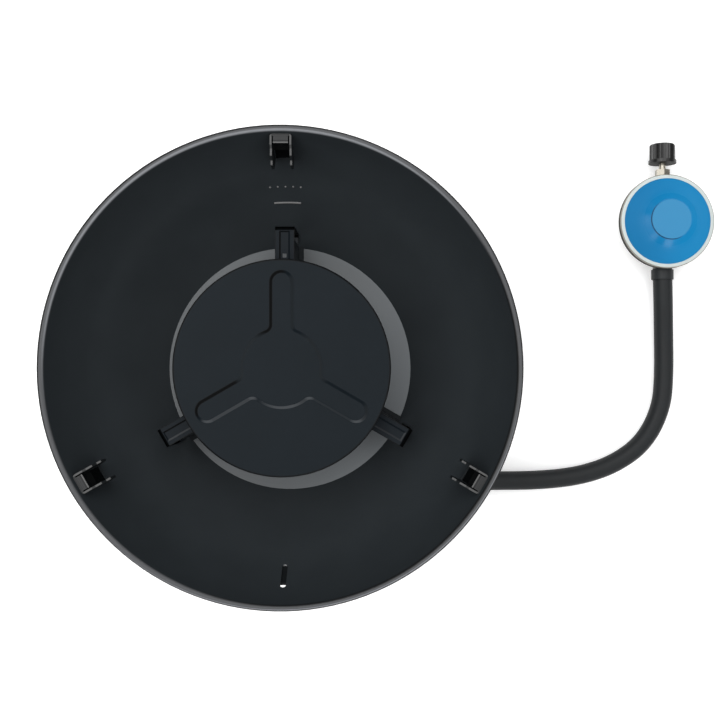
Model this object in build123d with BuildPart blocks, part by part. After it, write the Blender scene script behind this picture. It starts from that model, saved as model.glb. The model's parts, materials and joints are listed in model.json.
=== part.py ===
from build123d import *
from math import asin, atan2, cos, degrees, hypot, radians, sin, sqrt, tan
import os

# A camping gas grill: a shallow bowl with a gas burner in it, on three folding legs, with its hose and
# pressure regulator. Millimetres, +Z up. The origin is on the ground under the bowl's axis, and the front,
# with the tap, is at -Y. Names that end in HEIGHT are heights above the ground, and names that end in DROP
# are depths below the middle of the rim's bead.

# Fits
SEAT_GAP = 0.3  # between curved sheets that lie on each other
SLIP_GAP = 0.08  # round a shank, barb or tube in its hole
RUN_GAP = 0.3  # beside a piece that turns or slides
FREE_GAP = 1.0  # round a shaft that passes a hole without touching it

# Folded sheets
FOLD_RADIUS = 1.4  # outside of a fold
PUNCH_RADIUS = 1.2  # at a punched corner

# Where the three plate brackets, burner arms and legs stand round the bowl, in degrees
SIDES = {"back": 90, "left": 210, "right": 330}
FRONT = 270

# Bowl
RIM_RADIUS = 162.0
RIM_HEIGHT = 150.0
RIM_BEAD = 4.6
FLOOR_DROP = 81.5
FLOOR_RADIUS = 89.4
WALL_ARC = 133.7  # radius of the wall's section
BOWL_SHEET = 1.2
WINDOW_WIDTH = 11.0
WINDOW_DROP = 17.7  # to the window's upper edge
WINDOW_TALL = 12.0
SLOT_WIDTH = 3.8
SLOT_LENGTH = 23.4
SLOT_DROP = 30.0  # to the slot's middle
SLOT_COVER_RISE = 4.0  # of the cover's upper edge above the slot's middle

# Floor plate, lapped up under the bowl, with a neck that stands above the water
FLOOR_SHEET = 1.2
LAP_TALL = 7.0
NECK_RADIUS = 13.0
NECK_TALL = 24.0

# Plate brackets
BRACKET_SHEET = 1.5
BRACKET_WIDTH = 14.7
CHEEK_DROP = 30.0  # to the cheeks' lowest point on the wall
POST_DROP = 1.9
POST_LENGTH = 8.1
SEAT_DROP = 4.2
SEAT_LENGTH = 4.5
HORN_DROP = 9.0
HORN_LENGTH = 3.4
HORN_TALL = 13.0
RISER_LENGTH = 2.5  # of the slopes between the steps
TONGUE_WIDTH = 10.0
TONGUE_LENGTH = 7.2
BRACKET_BEND = 2.2
BACKING_MARGIN = 4.0

# Rivets
RIVET_RADIUS = 1.5
RIVET_HEAD_RADIUS = 2.6
RIVET_HEAD_TALL = 1.0
RIVET_SPACING = 6.4

# Spreader disc with its pressed Y
DISC_RADIUS = 74.0
DISC_DROP = 10.4
DISC_SHEET = 1.5
DISC_LIP = 3.5
DISC_EDGE = 1.2
Y_RISE = 1.8
Y_HUB = 27.8
Y_REACH = 66.3
Y_WIDTH = 16.6
Y_CORNER = 4.0
PRESS_SLOPE = 50.0  # of pressed walls, in degrees from upright
PRESS_BEND = 1.0

# Burner
BURNER_RADIUS = 50.0
CUP_SHEET = 1.2
CUP_TALL = 15.0
CROWN_TALL = 12.0
CROWN_SHEET = 1.5
CROWN_SPIGOT = 3.0
PORT_COUNT = 32
PORT_WIDTH = 2.0
PORT_TALL = 6.0
PORT_LIFT = 3.0
DISC_POST_RADIUS = 3.0
DISC_POST_FLANGE = 5.0
DISC_POST_FLANGE_TALL = 1.5
DISC_POST_CIRCLE = 38.0

# Burner arms
ARM_REACH = 99.3
ARM_DROP = 34.7
ARM_WIDTH = 13.5
ARM_TALL = 14.0
ARM_SHEET = 1.5
ARM_FOOT = 7.0
ARM_BEND = 3.0
RIB_WIDTH = 7.6
RIB_RISE = 1.0
RIB_START = 66.0
RIB_END = 96.0
DRAIN_SIDE = "back"
DRAIN_RADIUS = 78.6
DRAIN_SIZE = 2.8

# Mixing tube
TUBE_RADIUS = 8.0
TUBE_WALL = 1.0
TUBE_BEND = 25.0
TUBE_COLLAR = 10.0
TUBE_COLLAR_TALL = 1.5
AIR_LENGTH = 10.0
AIR_TALL = 8.0
AIR_INSET = 12.0  # from the tube's mouth to its air windows
LOCKNUT_RADIUS = 12.5
LOCKNUT_TALL = 5.0

# Tap: distances along its axis are from the bowl's axis towards the front
TAP_HEIGHT = 30.0
INLET_REACH = 89.0
TAP_RADIUS = 11.0
TAP_LENGTH = 24.0
TAP_BARREL = 8.0
TAP_FLANGE = 15.5
TAP_FLANGE_TALL = 2.5
TAP_BOSS = 7.5
TAP_BOSS_REACH = 15.0
NOSE_LENGTH = 8.0
NOSE_OVERLAP = 6.0  # of the mixing tube over the nose
JET_RADIUS = 4.0
JET_LENGTH = 6.0
JET_BORE = 0.6
STEM_RADIUS = 3.0
STEM_DEPTH = 20.0  # into the tap
STEM_GRIP = 13.0  # into the knob
TAP_SCREW_CIRCLE = 11.5
SCREW_RADIUS = 1.6
SCREW_HEAD_RADIUS = 2.8
SCREW_HEAD_TALL = 1.8

# Knob
KNOB_RADIUS = 21.0
KNOB_SKIRT = 7.0
KNOB_DEPTH = 18.0
KNOB_GAP = 3.0
GRIP_WIDTH = 11.0
KNOB_EDGE = 1.5
GRIP_TAPER = 4.0  # degrees

# Control panel
PANEL_REACH = 125.0
PANEL_WIDTH = 100.0
PANEL_SHEET = 1.5
PANEL_BOTTOM_HEIGHT = 9.0
CHEEK_REACH = 72.0
FLANGE_REACH = 42.0
PANEL_RIVETS = [(38.0, 50.0), (15.0, 62.0)]
PANEL_CORNER = 6.0

# Igniter
PIEZO_SIDE = -36.0
PIEZO_RADIUS = 8.0
PIEZO_FLANGE = 10.5
PIEZO_FLANGE_TALL = 2.5
PIEZO_LENGTH = 30.0
PIEZO_NUT_RADIUS = 11.5
PIEZO_NUT_TALL = 4.0
PIEZO_TERMINAL = 4.0
PIEZO_TERMINAL_RADIUS = 1.6
BUTTON_RADIUS = 5.5
BUTTON_OUT = 8.5
BUTTON_DEPTH = 10.0
BUTTON_TRAVEL = 6.0
LEAD_RADIUS = 1.2
ELECTRODE_SIDE = "left"
ELECTRODE_REACH = 58.0
INSULATOR_RADIUS = 2.5
INSULATOR_SHOULDER = 3.8
INSULATOR_SHOULDER_TALL = 2.5
INSULATOR_BELOW = 3.0
INSULATOR_ABOVE = 3.0
ELECTRODE_RADIUS = 0.8
SPARK_GAP = 2.5
LEAD_CLEAR = 2.5  # from the neck's top to the lead's middle

# Hose and its ends
HOSE_RADIUS = 7.5
HOSE_BORE = 4.0
BARB_LENGTH = 22.0
BARB_PASSAGE = 2.2
BARB_HEX = 8.0
BARB_HEX_LENGTH = 6.0
CLIP_WALL = 1.2
CLIP_LENGTH = 8.0
CLIP_INSET = 5.0
CLIP_EAR = 7.0
CUFF_WALL = 1.1
CUFF_LENGTH = 7.7

# Regulator
REGULATOR_X = 290.8
REGULATOR_Y = 114.8
PORT_HEIGHT = 13.0
RING_RADIUS = 36.5
RING_WALL = 1.5
RING_LIP = 3.1
RING_LIP_TALL = 1.0
BODY_FLANGE_HEIGHT = 22.0
BODY_FLANGE_TALL = 2.5
BODY_FOOT_RADIUS = 23.0
BODY_WALL = 3.5
BOSS_RADIUS = 7.5
BOSS_PASSAGE = 2.0
DIAPHRAGM_TALL = 1.0
CAP_FLANGE_TALL = 2.0
CAP_TOP_HEIGHT = 40.0
CAP_TOP_RADIUS = 15.3
CAP_STEP = 0.5
CAP_WALL = 2.0
SPRING_RADIUS = 8.0
SPRING_WIRE = 1.0
SPRING_TURNS = 4
PLATE_RADIUS = 13.0
PLATE_TALL = 1.2
OUTLET_SHANK = 8.0  # of the barb in the outlet boss
OUTLET_BARB = 13.0  # of the barb in the hose

# Inlet
HEX_ACROSS = 10.2
HEX_LENGTH = 7.6
NECK_STEM_RADIUS = 2.65
NIPPLE_RADIUS = 6.6
NIPPLE_LENGTH = 3.0
NOSE_RADIUS = 3.6
NUT_RADIUS = 10.0
NUT_FLANGE = 10.85
NUT_FLANGE_TALL = 2.4
NUT_LENGTH = 15.0
NUT_EDGE = 1.0
NUT_BACK = 2.0
NUT_BORE = 7.2
NUT_RELIEF = 7.7
NUT_START = 5.0  # from the hexagon's end to the nut's back
FLUTE_COUNT = 10
FLUTE_RADIUS = 8.0
FLUTE_DEPTH = 0.9
FLUTE_TURN = -5.0  # degrees from upright
SEAL_TALL = 1.5

# Legs
LEG_PIN_REACH = 96.0
LEG_PIN_BELOW = 10.5  # under the floor plate
LEG_FOOT_REACH = 135.0
LEG_WIDTH = 13.0
LEG_DEPTH = 12.0
LEG_SHEET = 1.5
PIN_RADIUS = 2.5
PIN_HEAD_RADIUS = 4.0
PIN_HEAD_TALL = 1.5
EAR_RADIUS = 9.5
EAR_SHEET = 1.5
BASE_START = 58.0
BASE_END = 90.0
STOP_LENGTH = 9.0
BASE_RIVET_REACH = 64.0
FOOT_WALL = 1.6
FOOT_TALL = 20.0
FOOT_SOLE = 8.0  # of rubber under the leg's end

# The hose's route, from the tap to the regulator
HOSE_ROUTE = [
    (21.3, -89.0, 30.0),
    (60.0, -89.0, 30.0),
    (103.0, -89.0, 22.0),
    (149.0, -89.0, 10.5),
    (195.0, -88.7, 7.6),
    (226.5, -85.8, 7.6),
    (253.6, -75.4, 7.6),
    (275.6, -56.6, 7.6),
    (289.7, -31.2, 7.6),
    (294.2, -2.6, 7.6),
    (293.4, 27.0, 8.2),
    (290.8, 53.5, 13.0),
    (290.8, 79.3, 13.0),
]
FILLET_SHARE = 0.45  # of the shorter run beside each bend

# Heights and radii that follow from the sizes above
RIM_MIDDLE = RIM_HEIGHT - RIM_BEAD / 2
WALL_TOP_RADIUS = RIM_RADIUS - RIM_BEAD
FLOOR_HEIGHT = RIM_MIDDLE - FLOOR_DROP
UNDERSIDE = FLOOR_HEIGHT - FLOOR_SHEET
CHORD = hypot(WALL_TOP_RADIUS - FLOOR_RADIUS, FLOOR_DROP)
ARC_OFFSET = sqrt(WALL_ARC**2 - (CHORD / 2) ** 2) / CHORD
ARC_RADIUS = (WALL_TOP_RADIUS + FLOOR_RADIUS) / 2 - ARC_OFFSET * FLOOR_DROP
ARC_HEIGHT = (RIM_MIDDLE + FLOOR_HEIGHT) / 2 + ARC_OFFSET * (WALL_TOP_RADIUS - FLOOR_RADIUS)
NECK_TOP = FLOOR_HEIGHT + NECK_TALL
DISC_TOP = RIM_MIDDLE - DISC_DROP
DISC_UNDER = DISC_TOP - DISC_SHEET
ARM_TOP = RIM_MIDDLE - ARM_DROP
ARM_FLOOR = ARM_TOP - ARM_TALL
ARM_START = BURNER_RADIUS + SEAT_GAP
CUP_TOP = ARM_TOP - RIVET_HEAD_TALL
CUP_BOTTOM = CUP_TOP - CUP_TALL
CROWN_TOP = CUP_TOP + CROWN_TALL
PANEL_FACE = -PANEL_REACH
PANEL_INSIDE = PANEL_FACE + PANEL_SHEET
BODY_TOP = BODY_FLANGE_HEIGHT + BODY_FLANGE_TALL
DIAPHRAGM_TOP = BODY_TOP + DIAPHRAGM_TALL
CAP_FLANGE_TOP = DIAPHRAGM_TOP + CAP_FLANGE_TALL
LEG_PIN_HEIGHT = UNDERSIDE - LEG_PIN_BELOW
LEG_SPLAY = degrees(atan2(LEG_FOOT_REACH - LEG_PIN_REACH, LEG_PIN_HEIGHT))
LEG_LENGTH = hypot(LEG_FOOT_REACH - LEG_PIN_REACH, LEG_PIN_HEIGHT)


def save(piece, name):
    piece.part.label = name
    export_step(piece.part, f"parts/{name}.step")


def polar(radius, angle, height=0.0):
    return (radius * cos(radians(angle)), radius * sin(radians(angle)), height)


def upright(angle):
    """The plane through the bowl's axis at that angle: x runs outwards, y runs up."""
    return Plane((0, 0, 0), x_dir=polar(1, angle), z_dir=polar(1, angle - 90))


def facing(angle, radius, height=0.0):
    """The upright plane square to that direction: x runs round the bowl, y up, z outwards."""
    return Plane(polar(radius, angle, height), x_dir=polar(1, angle + 90), z_dir=polar(1, angle))


def along(origin, direction):
    """A plane whose x axis is the axis of a turned piece."""
    side = (0, 0, 1) if direction[2] == 0 else (0, 1, 0)
    axis = Vector(*direction)
    return Plane(origin, x_dir=direction, z_dir=axis.cross(Vector(*side)))


def turned(plane, *section, mode=Mode.ADD):
    """Revolves a half section of (distance along the axis, radius) points about the plane's x axis."""
    with BuildSketch(plane) as half:
        with BuildLine():
            Polyline(*section, close=True)
        make_face()
    revolve(half.sketch, axis=Axis(plane.origin, plane.x_dir), mode=mode)


def rod(plane, start, end, radius, mode=Mode.ADD):
    turned(plane, (start, 0), (start, radius), (end, radius), (end, 0), mode=mode)


def sleeve(plane, start, end, inner, outer):
    turned(plane, (start, inner), (start, outer), (end, outer), (end, inner))


def wall_radius(height, outset=0.0):
    return ARC_RADIUS + sqrt((WALL_ARC + outset) ** 2 - (ARC_HEIGHT - height) ** 2)


def wall_height(radius, outset=0.0):
    return ARC_HEIGHT - sqrt((WALL_ARC + outset) ** 2 - (radius - ARC_RADIUS) ** 2)


def wall_arc(outset, low, high):
    """The wall's section, moved outwards by outset, between two heights."""
    start, end = (degrees(asin((height - ARC_HEIGHT) / (WALL_ARC + outset))) for height in (low, high))
    return CenterArc((ARC_RADIUS, ARC_HEIGHT), WALL_ARC + outset, start, end - start)


def wall_strip(inset, outset, low, high):
    """The sketch of a sheet that follows the wall."""
    with BuildLine() as outline:
        inner = wall_arc(inset, low, high)
        outer = wall_arc(outset, low, high)
        Line(inner @ 0, outer @ 0)
        Line(inner @ 1, outer @ 1)
    make_face(outline.edges())


def wall_plane(angle, height):
    """The plane that touches the wall's inner face: x runs round the bowl, z points out of the bowl."""
    radius = wall_radius(height)
    lean = asin((height - ARC_HEIGHT) / WALL_ARC)
    out = polar(cos(lean), angle, sin(lean))
    return Plane(polar(radius, angle, height), x_dir=polar(1, angle + 90), z_dir=out)


def off_wall(corner):
    """Whether a corner of an upright sketch stands clear of the wall."""
    return hypot(corner.X - ARC_RADIUS, corner.Y - ARC_HEIGHT) < WALL_ARC - 2 * SEAT_GAP


def at(x, y):
    """Whether a sketch's corner lies at that point."""
    return lambda corner: hypot(corner.X - x, corner.Y - y) < SLIP_GAP


def rivet(plane, grip):
    """A rivet through sheets that start at the plane and are grip thick in all."""
    axis = Plane(plane.origin, x_dir=plane.z_dir, z_dir=plane.x_dir)
    low, high = -SLIP_GAP, grip + SLIP_GAP
    turned(
        axis,
        (low - RIVET_HEAD_TALL, 0),
        (low - RIVET_HEAD_TALL, RIVET_HEAD_RADIUS),
        (low, RIVET_HEAD_RADIUS),
        (low, RIVET_RADIUS),
        (high, RIVET_RADIUS),
        (high, RIVET_HEAD_RADIUS),
        (high + RIVET_HEAD_TALL, RIVET_HEAD_RADIUS),
        (high + RIVET_HEAD_TALL, 0),
    )


def drill(planes, radius, depth):
    """Round holes along the planes' normals, depth long to each side."""
    for plane in planes:
        with BuildSketch(plane) as hole:
            Circle(radius)
        extrude(hole.sketch, amount=depth, both=True, mode=Mode.SUBTRACT)


UPRIGHT_AXIS = along((0, 0, 0), (0, 0, 1))
TAP_AXIS = along((0, 0, TAP_HEIGHT), (0, 1, 0))
INLET_AXIS = along((0, -INLET_REACH, TAP_HEIGHT), (1, 0, 0))
PIEZO_AXIS = along((PIEZO_SIDE, 0, TAP_HEIGHT), (0, 1, 0))
REGULATOR_AXIS = along((REGULATOR_X, REGULATOR_Y, 0), (0, 0, 1))
PORT_AXIS = along((REGULATOR_X, REGULATOR_Y, PORT_HEIGHT), (0, 1, 0))

# Rivets of each plate bracket, above its window
BRACKET_RIVET_HEIGHT = RIM_MIDDLE - (POST_DROP + WINDOW_DROP) / 2
RIVET_SWING = degrees(RIVET_SPACING / 2 / wall_radius(BRACKET_RIVET_HEIGHT))


def bracket_rivet_planes(angle):
    return [wall_plane(angle + swing, BRACKET_RIVET_HEIGHT) for swing in (-RIVET_SWING, RIVET_SWING)]


def panel_rivet_planes():
    places = [(sign * x, -y, UNDERSIDE - PANEL_SHEET) for x, y in PANEL_RIVETS for sign in (-1, 1)]
    return [Plane(place) for place in places]


def base_rivet_planes(angle):
    swing = degrees(RIVET_SPACING / 2 / BASE_RIVET_REACH)
    return [Plane(polar(BASE_RIVET_REACH, angle + turn, UNDERSIDE - EAR_SHEET)) for turn in (-swing, swing)]


def arm_rivet_plane(angle):
    return facing(angle, BURNER_RADIUS - CUP_SHEET, ARM_FLOOR + ARM_TALL / 2)


def tap_screw_places():
    return [(sign * TAP_SCREW_CIRCLE, 0, TAP_HEIGHT) for sign in (-1, 1)]


def bowl():
    with BuildPart() as bowl:
        with BuildSketch(Plane.XZ):
            wall_strip(0, BOWL_SHEET, FLOOR_HEIGHT, RIM_MIDDLE)
            with Locations((RIM_RADIUS - RIM_BEAD / 2, RIM_MIDDLE)):
                Circle(RIM_BEAD / 2)
        revolve(axis=Axis.Z)
        for angle in SIDES.values():
            with BuildSketch(facing(angle, FLOOR_RADIUS, RIM_MIDDLE - WINDOW_DROP - WINDOW_TALL / 2)):
                Rectangle(WINDOW_WIDTH, WINDOW_TALL)
            extrude(amount=RIM_RADIUS - FLOOR_RADIUS, mode=Mode.SUBTRACT)
            drill(bracket_rivet_planes(angle), RIVET_RADIUS + SLIP_GAP, 3 * BOWL_SHEET)
        with BuildSketch(wall_plane(FRONT, RIM_MIDDLE - SLOT_DROP)):
            SlotOverall(SLOT_LENGTH, SLOT_WIDTH, rotation=90)
        extrude(amount=4 * BOWL_SHEET, both=True, mode=Mode.SUBTRACT)
    save(bowl, "bowl")


def bowl_floor():
    lap_in = BOWL_SHEET + SEAT_GAP
    lap_out = lap_in + FLOOR_SHEET
    with BuildPart() as floor:
        turned(
            UPRIGHT_AXIS,
            (UNDERSIDE, NECK_RADIUS),
            (UNDERSIDE, wall_radius(UNDERSIDE, lap_out)),
            (FLOOR_HEIGHT, wall_radius(UNDERSIDE, lap_out)),
            (FLOOR_HEIGHT, NECK_RADIUS + FLOOR_SHEET),
            (NECK_TOP, NECK_RADIUS + FLOOR_SHEET),
            (NECK_TOP, NECK_RADIUS),
        )
        with BuildSketch(Plane.XZ):
            wall_strip(lap_in, lap_out, UNDERSIDE, FLOOR_HEIGHT + LAP_TALL)
        revolve(axis=Axis.Z)
        rivets = panel_rivet_planes()
        for angle in SIDES.values():
            rivets += base_rivet_planes(angle)
        drill(rivets, RIVET_RADIUS + SLIP_GAP, 3 * FLOOR_SHEET + PANEL_SHEET)
    save(floor, "bowl_floor")


def plate_bracket(side, angle):
    """A folded bracket: two stepped cheeks on a back plate, with a tongue bent in between them."""
    post, seat, horn = (RIM_MIDDLE - drop for drop in (POST_DROP, SEAT_DROP, HORN_DROP))
    post_end = WALL_TOP_RADIUS - POST_LENGTH
    seat_start = post_end - RISER_LENGTH
    seat_end = seat_start - SEAT_LENGTH
    horn_start = seat_end - RISER_LENGTH
    horn_end = horn_start - HORN_LENGTH
    gap = BRACKET_WIDTH / 2 - BRACKET_SHEET
    window_top = RIM_MIDDLE - WINDOW_DROP
    with BuildPart() as bracket:
        with BuildSketch(upright(angle)) as cheek:
            with BuildLine():
                back = wall_arc(-SEAT_GAP, RIM_MIDDLE - CHEEK_DROP, post)
                steps = [(post_end, post), (seat_start, seat), (seat_end, seat)]
                steps += [(horn_start, horn), (horn_end, horn), (horn_end, horn - HORN_TALL)]
                Polyline(back @ 1, *steps, back @ 0)
            make_face()
            fillet(cheek.vertices().filter_by(off_wall), PUNCH_RADIUS)
        extrude(amount=BRACKET_WIDTH / 2, both=True)
        bends = bracket.edges().filter_by(GeomType.CIRCLE).filter_by(lambda edge: edge.radius > WALL_ARC / 2)
        fillet(bends, BRACKET_BEND)
        with BuildSketch(upright(angle)):
            with Locations((ARC_RADIUS, ARC_HEIGHT)):
                Circle(WALL_ARC - SEAT_GAP - BRACKET_SHEET)
        extrude(amount=gap, both=True, mode=Mode.SUBTRACT)
        with BuildSketch(facing(angle, FLOOR_RADIUS)):
            Rectangle(2 * gap, window_top, align=(Align.CENTER, Align.MIN))
        extrude(amount=RIM_RADIUS - FLOOR_RADIUS, mode=Mode.SUBTRACT)
        with BuildSketch(upright(angle)):
            with BuildLine():
                root = wall_arc(-SEAT_GAP, post - BRACKET_SHEET, post)
                tip = WALL_TOP_RADIUS - TONGUE_LENGTH
                Polyline(root @ 1, (tip, post), (tip, post - BRACKET_SHEET), root @ 0)
            make_face()
        extrude(amount=TONGUE_WIDTH / 2, both=True)
        drill(bracket_rivet_planes(angle), RIVET_RADIUS + SLIP_GAP, 4 * BRACKET_SHEET)
    save(bracket, f"plate_bracket_{side}")


def bracket_backing_plates():
    low = RIM_MIDDLE - WINDOW_DROP - WINDOW_TALL - BACKING_MARGIN
    high = BRACKET_RIVET_HEIGHT + BACKING_MARGIN
    inset = BOWL_SHEET + SEAT_GAP
    with BuildPart() as plates:
        for angle in SIDES.values():
            with BuildSketch(upright(angle)):
                wall_strip(inset, inset + BRACKET_SHEET, low, high)
            extrude(amount=WINDOW_WIDTH / 2 + BACKING_MARGIN, both=True)
            drill(bracket_rivet_planes(angle), RIVET_RADIUS + SLIP_GAP, 4 * BRACKET_SHEET)
    save(plates, "bracket_backing_plates")


def slot_cover():
    """A strip behind the front slot that leaves the slot's upper end open."""
    middle = RIM_MIDDLE - SLOT_DROP
    low = middle - SLOT_LENGTH / 2 - BACKING_MARGIN
    with BuildPart() as cover:
        with BuildSketch(upright(FRONT)):
            wall_strip(BOWL_SHEET, BOWL_SHEET + BRACKET_SHEET, low, middle + SLOT_COVER_RISE)
        extrude(amount=SLOT_WIDTH / 2 + BACKING_MARGIN, both=True)
    save(cover, "slot_cover")


def bracket_rivets():
    grip = BOWL_SHEET + 2 * (BRACKET_SHEET + SEAT_GAP)
    with BuildPart() as rivets:
        for angle in SIDES.values():
            for plane in bracket_rivet_planes(angle):
                rivet(plane.offset(-BRACKET_SHEET - SEAT_GAP), grip)
    save(rivets, "bracket_rivets")


def press(outline, face, sheet, rise):
    """Raises an outline out of a sheet whose upper face is the plane."""
    for start, mode in ((face, Mode.ADD), (face.offset(-sheet), Mode.SUBTRACT)):
        with BuildSketch(start) as raised:
            outline()
        extrude(raised.sketch, amount=rise, taper=PRESS_SLOPE, mode=mode)


def pressed_y():
    """The outline of the disc's pressing: a hub and three round-ended arms."""
    Circle(Y_HUB)
    with PolarLocations((Y_REACH - Y_WIDTH / 2) / 2, len(SIDES), SIDES["back"]):
        SlotOverall(Y_REACH + Y_WIDTH / 2, Y_WIDTH)
    fillet(vertices().filter_by(lambda corner: hypot(corner.X, corner.Y) < Y_HUB + Y_CORNER), Y_CORNER)


def spreader_disc():
    with BuildPart() as disc:
        turned(
            UPRIGHT_AXIS,
            (DISC_UNDER, 0),
            (DISC_TOP, 0),
            (DISC_TOP, DISC_RADIUS),
            (DISC_TOP - DISC_LIP, DISC_RADIUS),
            (DISC_TOP - DISC_LIP, DISC_RADIUS - DISC_SHEET),
            (DISC_UNDER, DISC_RADIUS - DISC_SHEET),
        )
        fillet(disc.edges().group_by(Axis.Z)[-1], DISC_EDGE)
        press(pressed_y, Plane.XY.offset(DISC_TOP), DISC_SHEET, Y_RISE)
        for height in (DISC_TOP + Y_RISE, DISC_TOP):
            level = disc.edges().filter_by_position(Axis.Z, height - SEAT_GAP, height + SEAT_GAP)
            inner = level.filter_by(lambda edge: hypot(edge.center().X, edge.center().Y) < Y_REACH)
            fillet(inner, PRESS_BEND)
    save(disc, "spreader_disc")


def disc_posts():
    between = 180 / len(SIDES)
    with BuildPart() as posts:
        for angle in SIDES.values():
            axis = along(polar(DISC_POST_CIRCLE, angle + between), (0, 0, 1))
            rod(axis, CROWN_TOP, DISC_UNDER, DISC_POST_RADIUS)
            rod(axis, CROWN_TOP, CROWN_TOP + DISC_POST_FLANGE_TALL, DISC_POST_FLANGE)
            rod(axis, DISC_UNDER - DISC_POST_FLANGE_TALL, DISC_UNDER, DISC_POST_FLANGE)
    save(posts, "disc_posts")


def burner_cup():
    inner = BURNER_RADIUS - CUP_SHEET
    with BuildPart() as cup:
        turned(
            UPRIGHT_AXIS,
            (CUP_BOTTOM, TUBE_RADIUS + SLIP_GAP),
            (CUP_BOTTOM, BURNER_RADIUS),
            (CUP_TOP, BURNER_RADIUS),
            (CUP_TOP, inner),
            (CUP_BOTTOM + CUP_SHEET, inner),
            (CUP_BOTTOM + CUP_SHEET, TUBE_RADIUS + SLIP_GAP),
        )
        fillet(cup.edges().group_by(Axis.Z)[0].sort_by(SortBy.RADIUS)[-1], 3 * CUP_SHEET)
        drill([arm_rivet_plane(angle) for angle in SIDES.values()], RIVET_RADIUS + SLIP_GAP, 3 * CUP_SHEET)
    save(cup, "burner_cup")


def burner_crown():
    spigot = BURNER_RADIUS - CUP_SHEET - SLIP_GAP
    inner = spigot - CROWN_SHEET
    with BuildPart() as crown:
        turned(
            UPRIGHT_AXIS,
            (CUP_TOP, BURNER_RADIUS),
            (CROWN_TOP, BURNER_RADIUS),
            (CROWN_TOP, 0),
            (CROWN_TOP - CROWN_SHEET, 0),
            (CROWN_TOP - CROWN_SHEET, inner),
            (CUP_TOP - CROWN_SPIGOT, inner),
            (CUP_TOP - CROWN_SPIGOT, spigot),
            (CUP_TOP, spigot),
        )
        fillet(crown.edges().group_by(Axis.Z)[-1], CROWN_SHEET)
        with Locations((0, 0, CUP_TOP + PORT_LIFT + PORT_TALL / 2)):
            with PolarLocations(BURNER_RADIUS, PORT_COUNT, 180 / PORT_COUNT):
                Box(3 * (BURNER_RADIUS - inner), PORT_WIDTH, PORT_TALL, mode=Mode.SUBTRACT)
    save(crown, "burner_crown")


def arm_rib():
    """The outline of an arm's stiffening rib: x runs along the arm."""
    with Locations(((RIB_START + RIB_END) / 2, 0)):
        Rectangle(RIB_END - RIB_START, RIB_WIDTH)


def burner_arm(side, angle):
    """A strip riveted to the burner, pressed with a rib and bent down to stand on the bowl's wall."""
    with BuildPart() as arm:
        with BuildSketch(upright(angle)) as strip:
            with BuildLine():
                toe, heel = ARM_REACH - ARM_FOOT, ARM_REACH - ARM_SHEET
                lift = -SEAT_GAP - ARM_SHEET
                foot = wall_arc(-SEAT_GAP, wall_height(toe, -SEAT_GAP), wall_height(ARM_REACH, -SEAT_GAP))
                instep = wall_arc(lift, wall_height(toe, lift), wall_height(heel, lift))
                Line(foot @ 0, instep @ 0)
                under = ARM_TOP - ARM_SHEET
                tab = ARM_START + ARM_SHEET
                inside = [(heel, under), (tab, under), (tab, ARM_FLOOR), (ARM_START, ARM_FLOOR)]
                Polyline(instep @ 1, *inside, (ARM_START, ARM_TOP), (ARM_REACH, ARM_TOP), foot @ 1)
            make_face()
            fillet(strip.vertices().filter_by(at(ARM_REACH, ARM_TOP)), ARM_BEND)
            fillet(strip.vertices().filter_by(at(heel, under)), ARM_BEND - ARM_SHEET)
        extrude(amount=ARM_WIDTH / 2, both=True)
        press(arm_rib, Plane((0, 0, ARM_TOP), x_dir=polar(1, angle)), ARM_SHEET, RIB_RISE)
        if side == DRAIN_SIDE:
            with BuildSketch(Plane(polar(DRAIN_RADIUS, angle, ARM_FLOOR), x_dir=polar(1, angle))):
                Rectangle(DRAIN_SIZE, DRAIN_SIZE)
            extrude(amount=2 * ARM_TALL, mode=Mode.SUBTRACT)
        drill([arm_rivet_plane(angle)], RIVET_RADIUS + SLIP_GAP, 3 * (CUP_SHEET + ARM_SHEET))
        if side == ELECTRODE_SIDE:
            hole = Plane(polar(ELECTRODE_REACH, angle, ARM_TOP))
            drill([hole], INSULATOR_RADIUS + SLIP_GAP, 2 * ARM_SHEET)
    save(arm, f"burner_arm_{side}")


def arm_rivets():
    with BuildPart() as rivets:
        for angle in SIDES.values():
            rivet(arm_rivet_plane(angle), CUP_SHEET + SEAT_GAP + ARM_SHEET)
    save(rivets, "arm_rivets")


TUBE_MOUTH = -INLET_REACH + TAP_LENGTH / 2 + NOSE_LENGTH - NOSE_OVERLAP
TUBE_TOP = CUP_BOTTOM + CUP_SHEET + LOCKNUT_TALL


def mixing_tube():
    with BuildPart() as tube:
        with BuildLine():
            corners = [(0, TUBE_MOUTH, TAP_HEIGHT), (0, 0, TAP_HEIGHT), (0, 0, TUBE_TOP)]
            FilletPolyline(*corners, radius=TUBE_BEND)
        with BuildSketch(Plane(corners[0], z_dir=(0, 1, 0))):
            Circle(TUBE_RADIUS)
            Circle(TUBE_RADIUS - TUBE_WALL, mode=Mode.SUBTRACT)
        sweep()
        sleeve(UPRIGHT_AXIS, CUP_BOTTOM - TUBE_COLLAR_TALL, CUP_BOTTOM, TUBE_RADIUS - TUBE_WALL, TUBE_COLLAR)
        with Locations((0, TUBE_MOUTH + AIR_INSET + AIR_LENGTH / 2, TAP_HEIGHT)):
            Box(4 * TUBE_RADIUS, AIR_LENGTH, AIR_TALL, mode=Mode.SUBTRACT)
    save(tube, "mixing_tube")


def tube_locknut():
    with BuildPart() as nut:
        with BuildSketch(Plane.XY.offset(CUP_BOTTOM + CUP_SHEET)):
            RegularPolygon(LOCKNUT_RADIUS, 6)
            Circle(TUBE_RADIUS + SLIP_GAP, mode=Mode.SUBTRACT)
        extrude(amount=LOCKNUT_TALL)
    save(nut, "tube_locknut")


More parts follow.
